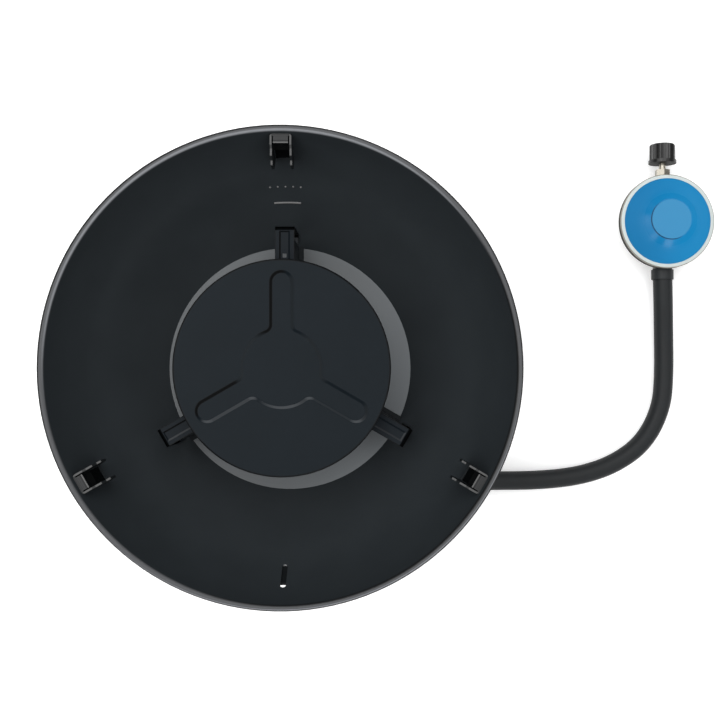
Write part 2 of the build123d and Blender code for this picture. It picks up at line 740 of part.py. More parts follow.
TAP_FRONT = -INLET_REACH - TAP_LENGTH / 2
TAP_BACK = -INLET_REACH + TAP_LENGTH / 2
NOSE_TIP = TAP_BACK + NOSE_LENGTH
NOSE_OUTSIDE = TUBE_RADIUS - TUBE_WALL - SLIP_GAP


def valve_body():
    stem_hole = STEM_RADIUS + SLIP_GAP
    with BuildPart() as tap:
        turned(
            TAP_AXIS,
            (PANEL_INSIDE, 0),
            (PANEL_INSIDE, TAP_FLANGE),
            (PANEL_INSIDE + TAP_FLANGE_TALL, TAP_FLANGE),
            (PANEL_INSIDE + TAP_FLANGE_TALL, TAP_BARREL),
            (TAP_FRONT, TAP_BARREL),
            (TAP_FRONT, TAP_RADIUS),
            (TAP_BACK, TAP_RADIUS),
            (TAP_BACK, NOSE_OUTSIDE),
            (NOSE_TIP, NOSE_OUTSIDE),
            (NOSE_TIP, 0),
        )
        rod(INLET_AXIS, 0, TAP_BOSS_REACH, TAP_BOSS)
        rod(INLET_AXIS, 0, TAP_BOSS_REACH, BARB_PASSAGE, mode=Mode.SUBTRACT)
        rod(TAP_AXIS, -INLET_REACH, NOSE_TIP, BARB_PASSAGE, mode=Mode.SUBTRACT)
        rod(TAP_AXIS, PANEL_INSIDE, PANEL_INSIDE + STEM_DEPTH + SLIP_GAP, stem_hole, mode=Mode.SUBTRACT)
        holes = [Plane((x, PANEL_INSIDE, z), z_dir=(0, 1, 0)) for x, y, z in tap_screw_places()]
        drill(holes, SCREW_RADIUS + SLIP_GAP, 2 * TAP_FLANGE_TALL)
    save(tap, "valve_body")


def gas_jet():
    with BuildPart() as jet:
        rod(TAP_AXIS, NOSE_TIP, NOSE_TIP + JET_LENGTH, JET_RADIUS)
        rod(TAP_AXIS, NOSE_TIP, NOSE_TIP + JET_LENGTH, JET_BORE, mode=Mode.SUBTRACT)
        chamfer(jet.edges().group_by(Axis.Y)[-1].sort_by(SortBy.RADIUS)[-1], JET_RADIUS / 3)
    save(jet, "gas_jet")


KNOB_BACK = PANEL_FACE - KNOB_GAP


def valve_stem():
    with BuildPart() as stem:
        rod(TAP_AXIS, KNOB_BACK - STEM_GRIP, PANEL_INSIDE + STEM_DEPTH, STEM_RADIUS)
    save(stem, "valve_stem")


def control_knob():
    """A round skirt with a grip bar across its face."""
    with BuildPart() as knob:
        rod(TAP_AXIS, KNOB_BACK - KNOB_SKIRT, KNOB_BACK, KNOB_RADIUS)
        fillet(knob.edges().group_by(Axis.Y)[0], KNOB_EDGE)
        middle = (0, KNOB_BACK - KNOB_SKIRT / 2, TAP_HEIGHT)
        with BuildSketch(Plane(middle, x_dir=(1, 0, 0), z_dir=(0, -1, 0))):
            SlotOverall(2 * (KNOB_RADIUS - KNOB_EDGE), GRIP_WIDTH, rotation=90)
        extrude(amount=KNOB_DEPTH - KNOB_SKIRT / 2, taper=GRIP_TAPER)
        fillet(knob.edges().group_by(Axis.Y)[0], KNOB_EDGE)
        rod(TAP_AXIS, KNOB_BACK - STEM_GRIP - SLIP_GAP, KNOB_BACK, STEM_RADIUS + SLIP_GAP, mode=Mode.SUBTRACT)
    save(knob, "control_knob")


def control_panel():
    """A folded sheet under the floor: a riveted flange, the front plate and two cheeks."""
    half = PANEL_WIDTH / 2
    low, top = PANEL_BOTTOM_HEIGHT, UNDERSIDE
    hidden = top - PANEL_SHEET
    with BuildPart() as panel:
        with BuildSketch(Plane.YZ):
            with BuildLine():
                Polyline((PANEL_FACE, low), (PANEL_FACE, top), (-CHEEK_REACH, top), close=True)
            make_face()
            with BuildLine():
                front, back = PANEL_FACE, PANEL_INSIDE
                Polyline((front, low), (back, low), (back, top), (front, top), close=True)
            make_face()
        extrude(amount=half, both=True)
        fillet(panel.faces().sort_by(Axis.Y)[0].edges().sort_by(Axis.Z)[1:], FOLD_RADIUS)
        with BuildSketch(Plane.YZ):
            with BuildLine():
                Polyline((PANEL_INSIDE, 0), (PANEL_INSIDE, hidden), (0, hidden), (0, 0), close=True)
            make_face()
        extrude(amount=half - PANEL_SHEET, both=True, mode=Mode.SUBTRACT)
        with BuildSketch(Plane.XY.offset(hidden)):
            with Locations((0, PANEL_INSIDE)):
                Rectangle(PANEL_WIDTH, -PANEL_INSIDE - FLANGE_REACH, align=(Align.CENTER, Align.MIN))
        extrude(amount=PANEL_SHEET)
        fillet(panel.edges().filter_by(Axis.Z).group_by(Axis.Y)[-1], PANEL_CORNER)
        drill(panel_rivet_planes(), RIVET_RADIUS + SLIP_GAP, 2 * PANEL_SHEET)
        holes = [Plane((x, PANEL_FACE, z), z_dir=(0, 1, 0)) for x, y, z in tap_screw_places()]
        drill(holes, SCREW_RADIUS + SLIP_GAP, 2 * PANEL_SHEET)
        drill([Plane((0, PANEL_FACE, TAP_HEIGHT), z_dir=(0, 1, 0))], STEM_RADIUS + FREE_GAP, 2 * PANEL_SHEET)
        piezo = Plane((PIEZO_SIDE, PANEL_FACE, TAP_HEIGHT), z_dir=(0, 1, 0))
        drill([piezo], PIEZO_RADIUS + SLIP_GAP, 2 * PANEL_SHEET)
    save(panel, "control_panel")


def panel_rivets():
    with BuildPart() as rivets:
        for plane in panel_rivet_planes():
            rivet(plane, PANEL_SHEET + FLOOR_SHEET)
    save(rivets, "panel_rivets")


def valve_screws():
    with BuildPart() as screws:
        for x, y, z in tap_screw_places():
            axis = along((x, y, z), (0, 1, 0))
            rod(axis, PANEL_FACE - SCREW_HEAD_TALL, PANEL_FACE, SCREW_HEAD_RADIUS)
            rod(axis, PANEL_FACE, PANEL_INSIDE + 2 * TAP_FLANGE_TALL, SCREW_RADIUS)
    save(screws, "valve_screws")


PIEZO_FRONT = PANEL_FACE - PIEZO_FLANGE_TALL
PIEZO_BACK = PANEL_FACE + PIEZO_LENGTH
BUTTON_INNER = PIEZO_FRONT + BUTTON_DEPTH
BUTTON_HOLE = BUTTON_INNER + BUTTON_TRAVEL + RUN_GAP


def piezo_body():
    with BuildPart() as piezo:
        turned(
            PIEZO_AXIS,
            (PIEZO_FRONT, 0),
            (PIEZO_FRONT, PIEZO_FLANGE),
            (PANEL_FACE, PIEZO_FLANGE),
            (PANEL_FACE, PIEZO_RADIUS),
            (PIEZO_BACK, PIEZO_RADIUS),
            (PIEZO_BACK, PIEZO_TERMINAL_RADIUS),
            (PIEZO_BACK + PIEZO_TERMINAL, PIEZO_TERMINAL_RADIUS),
            (PIEZO_BACK + PIEZO_TERMINAL, 0),
        )
        rod(PIEZO_AXIS, PIEZO_FRONT, BUTTON_HOLE, BUTTON_RADIUS + SLIP_GAP, mode=Mode.SUBTRACT)
    save(piezo, "piezo_body")


def piezo_nut():
    with BuildPart() as nut:
        with BuildSketch(Plane((PIEZO_SIDE, PANEL_INSIDE, TAP_HEIGHT), z_dir=(0, 1, 0))):
            RegularPolygon(PIEZO_NUT_RADIUS, 6)
            Circle(PIEZO_RADIUS + SLIP_GAP, mode=Mode.SUBTRACT)
        extrude(amount=PIEZO_NUT_TALL)
    save(nut, "piezo_nut")


def piezo_button():
    with BuildPart() as button:
        rod(PIEZO_AXIS, PIEZO_FRONT - BUTTON_OUT, BUTTON_INNER, BUTTON_RADIUS)
        fillet(button.edges().group_by(Axis.Y)[0], BUTTON_RADIUS / 4)
    save(button, "piezo_button")


ELECTRODE = along(polar(ELECTRODE_REACH, SIDES[ELECTRODE_SIDE]), (0, 0, 1))
LEAD_HEIGHT = NECK_TOP + LEAD_CLEAR


def electrode_insulator():
    with BuildPart() as insulator:
        rod(ELECTRODE, ARM_FLOOR - INSULATOR_BELOW, ARM_TOP + INSULATOR_ABOVE, INSULATOR_RADIUS)
        rod(ELECTRODE, ARM_TOP, ARM_TOP + INSULATOR_SHOULDER_TALL, INSULATOR_SHOULDER)
        bore = ELECTRODE_RADIUS + SLIP_GAP
        rod(ELECTRODE, ARM_FLOOR - INSULATOR_BELOW, ARM_TOP + INSULATOR_ABOVE, bore, mode=Mode.SUBTRACT)
    save(insulator, "electrode_insulator")


def electrode_pin():
    """A wire through the insulator, bent in towards the burner's ports."""
    angle = SIDES[ELECTRODE_SIDE]
    tip_height = CUP_TOP + PORT_LIFT + PORT_TALL / 2
    foot = polar(ELECTRODE_REACH, angle, LEAD_HEIGHT - 2 * LEAD_RADIUS)
    bend = polar(ELECTRODE_REACH, angle, tip_height)
    tip = polar(BURNER_RADIUS + SPARK_GAP, angle, tip_height)
    with BuildPart() as pin:
        with BuildLine():
            FilletPolyline(foot, bend, tip, radius=2 * ELECTRODE_RADIUS)
        with BuildSketch(Plane(foot)):
            Circle(ELECTRODE_RADIUS)
        sweep()
    save(pin, "electrode_pin")


def ignition_lead():
    """The lead from the electrode, down the floor's neck beside the tube, to the piezo unit."""
    beside = -(TUBE_RADIUS + NECK_RADIUS) / 2
    under_floor = TAP_HEIGHT + TUBE_RADIUS + 5 * LEAD_RADIUS
    start = polar(ELECTRODE_REACH - ELECTRODE_RADIUS - SLIP_GAP, SIDES[ELECTRODE_SIDE], LEAD_HEIGHT)
    end = (PIEZO_SIDE, PIEZO_BACK + PIEZO_TERMINAL, TAP_HEIGHT)
    run_in = end[1] + 10 * LEAD_RADIUS
    route = [
        start,
        (beside, 0, LEAD_HEIGHT),
        (beside, 0, under_floor),
        (beside - 3 * LEAD_RADIUS, -2 * TUBE_BEND, (under_floor + TAP_HEIGHT) / 2),
        (PIEZO_SIDE, run_in, TAP_HEIGHT),
        end,
    ]
    bends = [3 * LEAD_RADIUS, 6 * LEAD_RADIUS, 12 * LEAD_RADIUS, 8 * LEAD_RADIUS]
    with BuildPart() as lead:
        with BuildLine():
            path = FilletPolyline(*route, radius=bends)
        with BuildSketch(Plane(path @ 0, z_dir=path % 0)):
            Circle(LEAD_RADIUS)
        sweep()
    save(lead, "ignition_lead")


BARB_SEAT = TAP_BOSS_REACH + BARB_HEX_LENGTH


def hose_barb():
    with BuildPart() as barb:
        with BuildSketch(Plane((TAP_BOSS_REACH, -INLET_REACH, TAP_HEIGHT), z_dir=(1, 0, 0))):
            RegularPolygon(BARB_HEX, 6)
        extrude(amount=BARB_HEX_LENGTH)
        rod(INLET_AXIS, BARB_SEAT, BARB_SEAT + BARB_LENGTH, HOSE_BORE - SLIP_GAP)
        rod(INLET_AXIS, TAP_BOSS_REACH, BARB_SEAT + BARB_LENGTH, BARB_PASSAGE, mode=Mode.SUBTRACT)
    save(barb, "hose_barb")


def hose_clip():
    """A band round the hose with its tightening ears."""
    inner = HOSE_RADIUS + SLIP_GAP
    outer = inner + CLIP_WALL
    start = BARB_SEAT + CLIP_INSET
    with BuildPart() as clip:
        sleeve(INLET_AXIS, start, start + CLIP_LENGTH, inner, outer)
        for side in (-1, 1):
            with Locations((start, side * 2 * CLIP_WALL - INLET_REACH, TAP_HEIGHT + inner)):
                Box(CLIP_LENGTH, CLIP_WALL, CLIP_EAR, align=(Align.MIN, Align.CENTER, Align.MIN))
    save(clip, "hose_clip")


def bend_radii(route):
    """The largest fillet that the runs beside each inner point of the route allow."""
    runs = [Vector(*b) - Vector(*a) for a, b in zip(route, route[1:])]
    return [
        FILLET_SHARE * min(before.length, after.length) / tan(radians(before.get_angle(after)) / 2)
        for before, after in zip(runs, runs[1:])
    ]


def gas_hose():
    radii = bend_radii(HOSE_ROUTE)
    print("hose bend radii", [round(radius, 1) for radius in radii])
    with BuildPart() as hose:
        with BuildLine():
            path = FilletPolyline(*HOSE_ROUTE, radius=radii)
        with BuildSketch(Plane(path @ 0, z_dir=path % 0)) as section:
            Circle(HOSE_RADIUS)
            Circle(HOSE_BORE, mode=Mode.SUBTRACT)
        sweep()
    ratio = hose.part.volume / section.sketch.area / path.length
    print("hose length", round(path.length, 1), "volume ratio", round(ratio, 4))
    save(hose, "gas_hose")


OUTLET_END = RING_LIP_TALL - RING_RADIUS  # the outlet boss ends just under the ring's edge
INLET_END = RING_RADIUS - RING_WALL


def hose_cuff():
    start = -RING_RADIUS
    with BuildPart() as cuff:
        inner = HOSE_RADIUS + SLIP_GAP
        sleeve(PORT_AXIS, start - CUFF_LENGTH, start, inner, inner + CUFF_WALL)
    save(cuff, "hose_cuff")


FLANGE_RADIUS = RING_RADIUS - RING_WALL - SLIP_GAP


def regulator_body():
    """A die-cast dish with a flange, a chamber and two bosses on one axis."""
    with BuildPart() as body:
        turned(
            REGULATOR_AXIS,
            (0, 0),
            (0, BODY_FOOT_RADIUS),
            (BODY_FLANGE_HEIGHT, FLANGE_RADIUS - RING_LIP),
            (BODY_FLANGE_HEIGHT, FLANGE_RADIUS),
            (BODY_TOP, FLANGE_RADIUS),
            (BODY_TOP, 0),
        )
        fillet(body.edges().group_by(Axis.Z)[0], BODY_WALL)
        rod(PORT_AXIS, OUTLET_END, INLET_END, BOSS_RADIUS)
        chamber = FLANGE_RADIUS - RING_LIP - BODY_WALL
        turned(
            REGULATOR_AXIS,
            (PORT_HEIGHT + BOSS_RADIUS - BODY_WALL, 0),
            (PORT_HEIGHT + BOSS_RADIUS - BODY_WALL, chamber - BODY_WALL),
            (BODY_TOP, chamber),
            (BODY_TOP, 0),
            mode=Mode.SUBTRACT,
        )
        rod(PORT_AXIS, OUTLET_END, INLET_END, BOSS_PASSAGE, mode=Mode.SUBTRACT)
        rod(PORT_AXIS, OUTLET_END, OUTLET_END + OUTLET_SHANK, HOSE_BORE, mode=Mode.SUBTRACT)
    save(body, "regulator_body")


def regulator_ring():
    """The crimped ring that holds cap, diaphragm and body together."""
    low = BODY_FLANGE_HEIGHT - SLIP_GAP
    high = CAP_FLANGE_TOP + SLIP_GAP
    lip = RING_RADIUS - RING_LIP
    with BuildPart() as ring:
        turned(
            REGULATOR_AXIS,
            (low - RING_LIP_TALL, lip),
            (low - RING_LIP_TALL, RING_RADIUS),
            (high + RING_LIP_TALL, RING_RADIUS),
            (high + RING_LIP_TALL, lip),
            (high, lip),
            (high, RING_RADIUS - RING_WALL),
            (low, RING_RADIUS - RING_WALL),
            (low, lip),
        )
        fillet(ring.edges().group_by(Axis.Z)[-1].sort_by(SortBy.RADIUS)[-1], RING_LIP_TALL)
    save(ring, "regulator_ring")


def regulator_cap():
    cone_foot = RING_RADIUS - RING_LIP - SLIP_GAP
    with BuildPart() as cap:
        turned(
            REGULATOR_AXIS,
            (DIAPHRAGM_TOP, cone_foot - CAP_WALL),
            (DIAPHRAGM_TOP, FLANGE_RADIUS),
            (CAP_FLANGE_TOP, FLANGE_RADIUS),
            (CAP_FLANGE_TOP, cone_foot),
            (CAP_FLANGE_TOP + RING_LIP_TALL, cone_foot),
            (CAP_TOP_HEIGHT - CAP_STEP, CAP_TOP_RADIUS + CAP_STEP),
            (CAP_TOP_HEIGHT - CAP_STEP, CAP_TOP_RADIUS),
            (CAP_TOP_HEIGHT, CAP_TOP_RADIUS),
            (CAP_TOP_HEIGHT, 0),
            (CAP_TOP_HEIGHT - CAP_WALL, 0),
            (CAP_TOP_HEIGHT - CAP_WALL, CAP_TOP_RADIUS - CAP_WALL / 2),
            (CAP_FLANGE_TOP, cone_foot - CAP_WALL),
        )
        fillet(cap.edges().group_by(Axis.Z)[-1], CAP_STEP / 2)
    save(cap, "regulator_cap")


def regulator_diaphragm():
    with BuildPart() as diaphragm:
        rod(REGULATOR_AXIS, BODY_TOP, DIAPHRAGM_TOP, FLANGE_RADIUS)
    save(diaphragm, "regulator_diaphragm")


def regulator_plate():
    with BuildPart() as plate:
        rod(REGULATOR_AXIS, DIAPHRAGM_TOP, DIAPHRAGM_TOP + PLATE_TALL, PLATE_RADIUS)
    save(plate, "regulator_plate")


def regulator_spring():
    """A coil between the diaphragm's plate and the cap."""
    low = DIAPHRAGM_TOP + PLATE_TALL + SPRING_WIRE
    high = CAP_TOP_HEIGHT - CAP_WALL - SPRING_WIRE
    with BuildPart() as spring:
        with BuildLine(Plane((REGULATOR_X, REGULATOR_Y, low))):
            path = Helix((high - low) / SPRING_TURNS, high - low, SPRING_RADIUS)
        with BuildSketch(Plane(path @ 0, z_dir=path % 0)):
            Circle(SPRING_WIRE - SLIP_GAP)
        sweep(is_frenet=True)
    save(spring, "regulator_spring")


def regulator_outlet():
    with BuildPart() as outlet:
        tip = OUTLET_END - OUTLET_BARB
        rod(PORT_AXIS, tip, OUTLET_END + OUTLET_SHANK - SLIP_GAP, HOSE_BORE - SLIP_GAP)
        rod(PORT_AXIS, tip, OUTLET_END + OUTLET_SHANK, BARB_PASSAGE, mode=Mode.SUBTRACT)
    save(outlet, "regulator_outlet")


NUT_FACE = INLET_END + NUT_START + HEX_LENGTH
NIPPLE_START = NUT_FACE + NUT_BACK + RUN_GAP
NIPPLE_END = NIPPLE_START + NIPPLE_LENGTH
SEAL_END = NIPPLE_END + SEAL_TALL


def inlet_stem():
    with BuildPart() as stem:
        with BuildSketch(Plane((REGULATOR_X, REGULATOR_Y + INLET_END, PORT_HEIGHT), z_dir=(0, 1, 0))):
            RegularPolygon(HEX_ACROSS / 2, 6, major_radius=False)
        extrude(amount=HEX_LENGTH)
        turned(
            PORT_AXIS,
            (INLET_END, 0),
            (INLET_END, NECK_STEM_RADIUS),
            (NIPPLE_START, NECK_STEM_RADIUS),
            (NIPPLE_START, NIPPLE_RADIUS),
            (NIPPLE_END, NIPPLE_RADIUS),
            (NIPPLE_END, NOSE_RADIUS),
            (SEAL_END, NOSE_RADIUS),
            (SEAL_END, 0),
        )
        rod(PORT_AXIS, INLET_END, SEAL_END, BOSS_PASSAGE, mode=Mode.SUBTRACT)
    save(stem, "inlet_stem")


def inlet_seal():
    with BuildPart() as seal:
        sleeve(PORT_AXIS, NIPPLE_END, SEAL_END, NOSE_RADIUS, NIPPLE_RADIUS)
    save(seal, "inlet_seal")


def inlet_nut():
    """The fluted hand nut that screws on the cylinder's valve."""
    with BuildPart() as nut:
        turned(
            PORT_AXIS,
            (NUT_FACE, NECK_STEM_RADIUS + SLIP_GAP),
            (NUT_FACE, NUT_FLANGE),
            (NUT_FACE + NUT_FLANGE_TALL, NUT_FLANGE),
            (NUT_FACE + NUT_FLANGE_TALL, NUT_RADIUS),
            (NUT_FACE + NUT_LENGTH - NUT_EDGE, NUT_RADIUS),
            (NUT_FACE + NUT_LENGTH, NUT_RADIUS - NUT_EDGE),
            (NUT_FACE + NUT_LENGTH, NUT_BORE),
            (SEAL_END + RUN_GAP, NUT_BORE),
            (SEAL_END + RUN_GAP, NUT_RELIEF),
            (NUT_FACE + NUT_BACK, NUT_RELIEF),
            (NUT_FACE + NUT_BACK, NECK_STEM_RADIUS + SLIP_GAP),
        )
        start = REGULATOR_Y + NUT_FACE + NUT_FLANGE_TALL
        with BuildSketch(Plane((REGULATOR_X, start, PORT_HEIGHT), z_dir=(0, 1, 0))):
            with PolarLocations(NUT_RADIUS - FLUTE_DEPTH + FLUTE_RADIUS, FLUTE_COUNT, FLUTE_TURN):
                Circle(FLUTE_RADIUS)
        extrude(amount=NUT_LENGTH, mode=Mode.SUBTRACT)
    save(nut, "inlet_nut")


def pin_point(angle):
    return polar(LEG_PIN_REACH, angle, LEG_PIN_HEIGHT)


def leg_plane(angle):
    """The leg's own upright plane: origin on its pin, x down the leg, y to its outer side."""
    down = polar(sin(radians(LEG_SPLAY)), angle, -cos(radians(LEG_SPLAY)))
    return Plane(pin_point(angle), x_dir=down, z_dir=polar(1, angle - 90))


def pin_plane(angle):
    return Plane(pin_point(angle), x_dir=polar(1, angle), z_dir=polar(1, angle - 90))


def leg_bracket(side, angle):
    """A channel riveted under the floor, with ears for the pin and a stop behind the leg."""
    inside = LEG_WIDTH / 2 + RUN_GAP
    outside = inside + EAR_SHEET
    with BuildPart() as bracket:
        with BuildSketch(upright(angle)):
            with Locations(((BASE_START + BASE_END) / 2, UNDERSIDE - EAR_SHEET / 2)):
                Rectangle(BASE_END - BASE_START, EAR_SHEET)
            with Locations((LEG_PIN_REACH, LEG_PIN_HEIGHT)):
                Circle(EAR_RADIUS)
            make_hull()
        extrude(amount=outside, both=True)
        with BuildSketch(upright(angle)):
            Rectangle(RIM_RADIUS, UNDERSIDE - EAR_SHEET, align=Align.MIN)
        extrude(amount=inside, both=True, mode=Mode.SUBTRACT)
        with BuildSketch(leg_plane(angle)):
            with Locations((0, LEG_DEPTH / 2 + RUN_GAP)):
                Rectangle(STOP_LENGTH, EAR_SHEET, align=(Align.CENTER, Align.MIN))
        extrude(amount=outside, both=True)
        drill([pin_plane(angle)], PIN_RADIUS + SLIP_GAP, 2 * LEG_WIDTH)
        drill(base_rivet_planes(angle), RIVET_RADIUS + SLIP_GAP, 2 * EAR_SHEET)
    save(bracket, f"leg_bracket_{side}")


def leg_pin(side, angle):
    ends = LEG_WIDTH / 2 + RUN_GAP + EAR_SHEET + SLIP_GAP
    axis = along(pin_point(angle), polar(1, angle - 90))
    with BuildPart() as pin:
        rod(axis, -ends, ends, PIN_RADIUS)
        rod(axis, -ends - PIN_HEAD_TALL, -ends, PIN_HEAD_RADIUS)
        rod(axis, ends, ends + PIN_HEAD_TALL, PIN_HEAD_RADIUS)
    save(pin, f"leg_pin_{side}")


def leg(side, angle):
    """A folded channel, open towards the inside, with a round end at the pin."""
    length = LEG_LENGTH - FOOT_SOLE
    with BuildPart() as leg:
        with BuildSketch(leg_plane(angle)):
            Rectangle(length, LEG_DEPTH, align=(Align.MIN, Align.CENTER))
            Circle(LEG_DEPTH / 2)
        extrude(amount=LEG_WIDTH / 2, both=True)
        fillet(leg.faces().filter_by(Axis((0, 0, 0), polar(1, angle - 90))).edges(), FOLD_RADIUS)
        with BuildSketch(leg_plane(angle)):
            with Locations((0, LEG_DEPTH / 2 - LEG_SHEET)):
                Rectangle(3 * length, LEG_DEPTH, align=(Align.CENTER, Align.MAX))
        extrude(amount=LEG_WIDTH / 2 - LEG_SHEET, both=True, mode=Mode.SUBTRACT)
        drill([pin_plane(angle)], PIN_RADIUS + SLIP_GAP, LEG_WIDTH)
    save(leg, f"leg_{side}")


def leg_foot(side, angle):
    """A rubber shoe on the leg's end, cut level with the ground."""
    with BuildPart() as foot:
        with BuildSketch(leg_plane(angle)):
            with Locations((LEG_LENGTH - FOOT_TALL, 0)):
                Rectangle(2 * FOOT_TALL, LEG_DEPTH + 2 * FOOT_WALL, align=(Align.MIN, Align.CENTER))
        extrude(amount=LEG_WIDTH / 2 + FOOT_WALL, both=True)
        with Locations(polar(LEG_FOOT_REACH, angle)):
            below = (Align.CENTER, Align.CENTER, Align.MAX)
            Box(RIM_RADIUS, RIM_RADIUS, RIM_RADIUS, align=below, mode=Mode.SUBTRACT)
        with BuildSketch(leg_plane(angle)):
            Rectangle(LEG_LENGTH - FOOT_SOLE, LEG_DEPTH + 2 * SLIP_GAP, align=(Align.MIN, Align.CENTER))
        extrude(amount=LEG_WIDTH / 2 + SLIP_GAP, both=True, mode=Mode.SUBTRACT)
    save(foot, f"leg_foot_{side}")


def leg_bracket_rivets():
    with BuildPart() as rivets:
        for angle in SIDES.values():
            for plane in base_rivet_planes(angle):
                rivet(plane, EAR_SHEET + FLOOR_SHEET)
    save(rivets, "leg_bracket_rivets")


os.makedirs("parts", exist_ok=True)

for build in (bowl, bowl_floor, bracket_backing_plates, bracket_rivets, slot_cover):
    build()
for build in (spreader_disc, disc_posts, burner_cup, burner_crown, arm_rivets, mixing_tube, tube_locknut):
    build()
for build in (valve_body, gas_jet, valve_stem, control_knob, control_panel, panel_rivets, valve_screws):
    build()
for build in (piezo_body, piezo_nut, piezo_button, electrode_insulator, electrode_pin, ignition_lead):
    build()
for build in (hose_barb, hose_clip, gas_hose, hose_cuff):
    build()
for build in (regulator_body, regulator_ring, regulator_cap, regulator_diaphragm, regulator_plate):
    build()
for build in (regulator_spring, regulator_outlet, inlet_stem, inlet_seal, inlet_nut, leg_bracket_rivets):
    build()
for build in (plate_bracket, burner_arm, leg_bracket, leg_pin, leg, leg_foot):
    for side, angle in SIDES.items():
        build(side, angle)
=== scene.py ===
import json
import math

import bpy
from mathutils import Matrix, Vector


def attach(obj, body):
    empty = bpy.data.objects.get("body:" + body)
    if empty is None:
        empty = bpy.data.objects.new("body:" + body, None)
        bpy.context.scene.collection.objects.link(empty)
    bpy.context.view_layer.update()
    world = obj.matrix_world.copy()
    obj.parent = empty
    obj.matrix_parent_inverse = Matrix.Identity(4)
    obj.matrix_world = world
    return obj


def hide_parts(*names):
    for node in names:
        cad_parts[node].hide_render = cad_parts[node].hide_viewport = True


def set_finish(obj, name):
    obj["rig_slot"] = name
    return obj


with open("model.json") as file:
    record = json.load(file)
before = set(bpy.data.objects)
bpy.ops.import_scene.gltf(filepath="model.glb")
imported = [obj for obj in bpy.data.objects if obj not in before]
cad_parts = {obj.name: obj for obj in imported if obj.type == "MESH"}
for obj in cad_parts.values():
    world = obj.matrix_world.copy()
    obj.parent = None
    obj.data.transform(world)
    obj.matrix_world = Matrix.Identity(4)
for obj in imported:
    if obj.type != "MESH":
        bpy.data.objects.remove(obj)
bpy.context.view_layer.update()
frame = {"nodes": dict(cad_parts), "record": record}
nodes = frame["nodes"]
MM = 0.001

# Where the plate brackets, burner arms and legs stand round the bowl, in degrees
SIDES = {"back": 90.0, "left": 210.0, "right": 330.0}

# The compass sides that steer painted light, in degrees: faces that lean to the first get a painted highlight,
# faces that lean to the second get painted shade, and faces that lean to the third get painted light that
# fills in their own shading
LIT_SIDE = 290.0
SHADED_SIDE = 143.0
FILL_SIDE = 348.0

# Sizes of the solids that the finishes and the added pieces follow, in millimetres.
# The bowl: its rolled bead, its brink, its wall's arc and the end of its front slot
BEAD_INSIDE = 157.6
RIM_RADIUS = 162.0
WALL_ARC = 133.7
WALL_ARC_RADIUS = 29.18
WALL_ARC_HEIGHT = 185.56
SLOT_END = (0.0, -138.5, 107.6)
SLOT_END_RADIUS = 2.9
FLOOR_TOP = 66.2
# Where the painted light on the floor plate rises from none to full, in millimetres along x less 0.3 y
FLOOR_LIGHT_SPAN = (10.0, 95.0)

# The plate brackets: their cheeks across, and their bent tongue outwards
CHEEK_INSIDE = 5.55
CHEEK_EDGE = 6.0
CHEEK_OUTSIDE = 7.15
TONGUE_START = 149.65
LIP_END = 151.1
CREASE_START = 151.3
CREASE_END = 152.15

# The spreader disc with its pressed Y, and the burner arms
DISC_RADIUS = 74.0
Y_HUB = 27.8
HUB_FADE = (-8.5, 22.0)
ARM_REACH = 99.3
ARM_HALF = 6.75
ARM_TOP = 113.0

# The regulator's middle, the ring round its cap and the hand nut
REGULATOR = (290.8, 114.8)
RING_EDGE = 35.9
RING_CRIMP = 26.7
CAP_FLAT = 15.3
NUT_AXIS_HEIGHT = 13.0
NUT_THREAD_START = 170.2

# The tap's panel and knob, and the legs' pins
TAP_HEIGHT = 30.0
PANEL_FACE = -125.0
KNOB_FACE = -146.0
KNOB_SKIRT_MIDDLE = -131.5
LEG_PIN_REACH = 96.0
LEG_PIN_HEIGHT = 54.5
LEG_SPLAY = 35.59


class Wire:
    """A node's socket that can stand in Python sums: each sum adds one Math node."""

    def __init__(self, nodes, socket):
        self.nodes = nodes
        self.socket = socket

    def sum(self, operation, *values):
        return self.nodes.add("ShaderNodeMath", {"operation": operation}, dict(enumerate(values)))

    def __add__(self, other):
        return self.sum("ADD", self, other)

    __radd__ = __add__

    def __sub__(self, other):
        return self.sum("SUBTRACT", self, other)

    def __rsub__(self, other):
        return self.sum("SUBTRACT", other, self)

    def __mul__(self, other):
        return self.sum("MULTIPLY", self, other)

    __rmul__ = __mul__

    def __truediv__(self, other):
        return self.sum("DIVIDE", self, other)

    def __pow__(self, other):
        return self.sum("POWER", self, other)

    def __abs__(self):
        return self.sum("ABSOLUTE", self)


class Nodes:
    """A node tree under way: add() makes any node, with its settings first and then its sockets."""

    def __init__(self, tree):
        self.tree = tree

    def add(self, kind, settings=None, sockets=None, output=0):
        node = self.tree.nodes.new(kind)
        for name, value in (settings or {}).items():
            setattr(node, name, value)
        for name, value in (sockets or {}).items():
            if isinstance(value, Wire):
                self.tree.links.new(value.socket, node.inputs[name])
            else:
                node.inputs[name].default_value = value
        return Wire(self, node.outputs[output]) if node.outputs else None


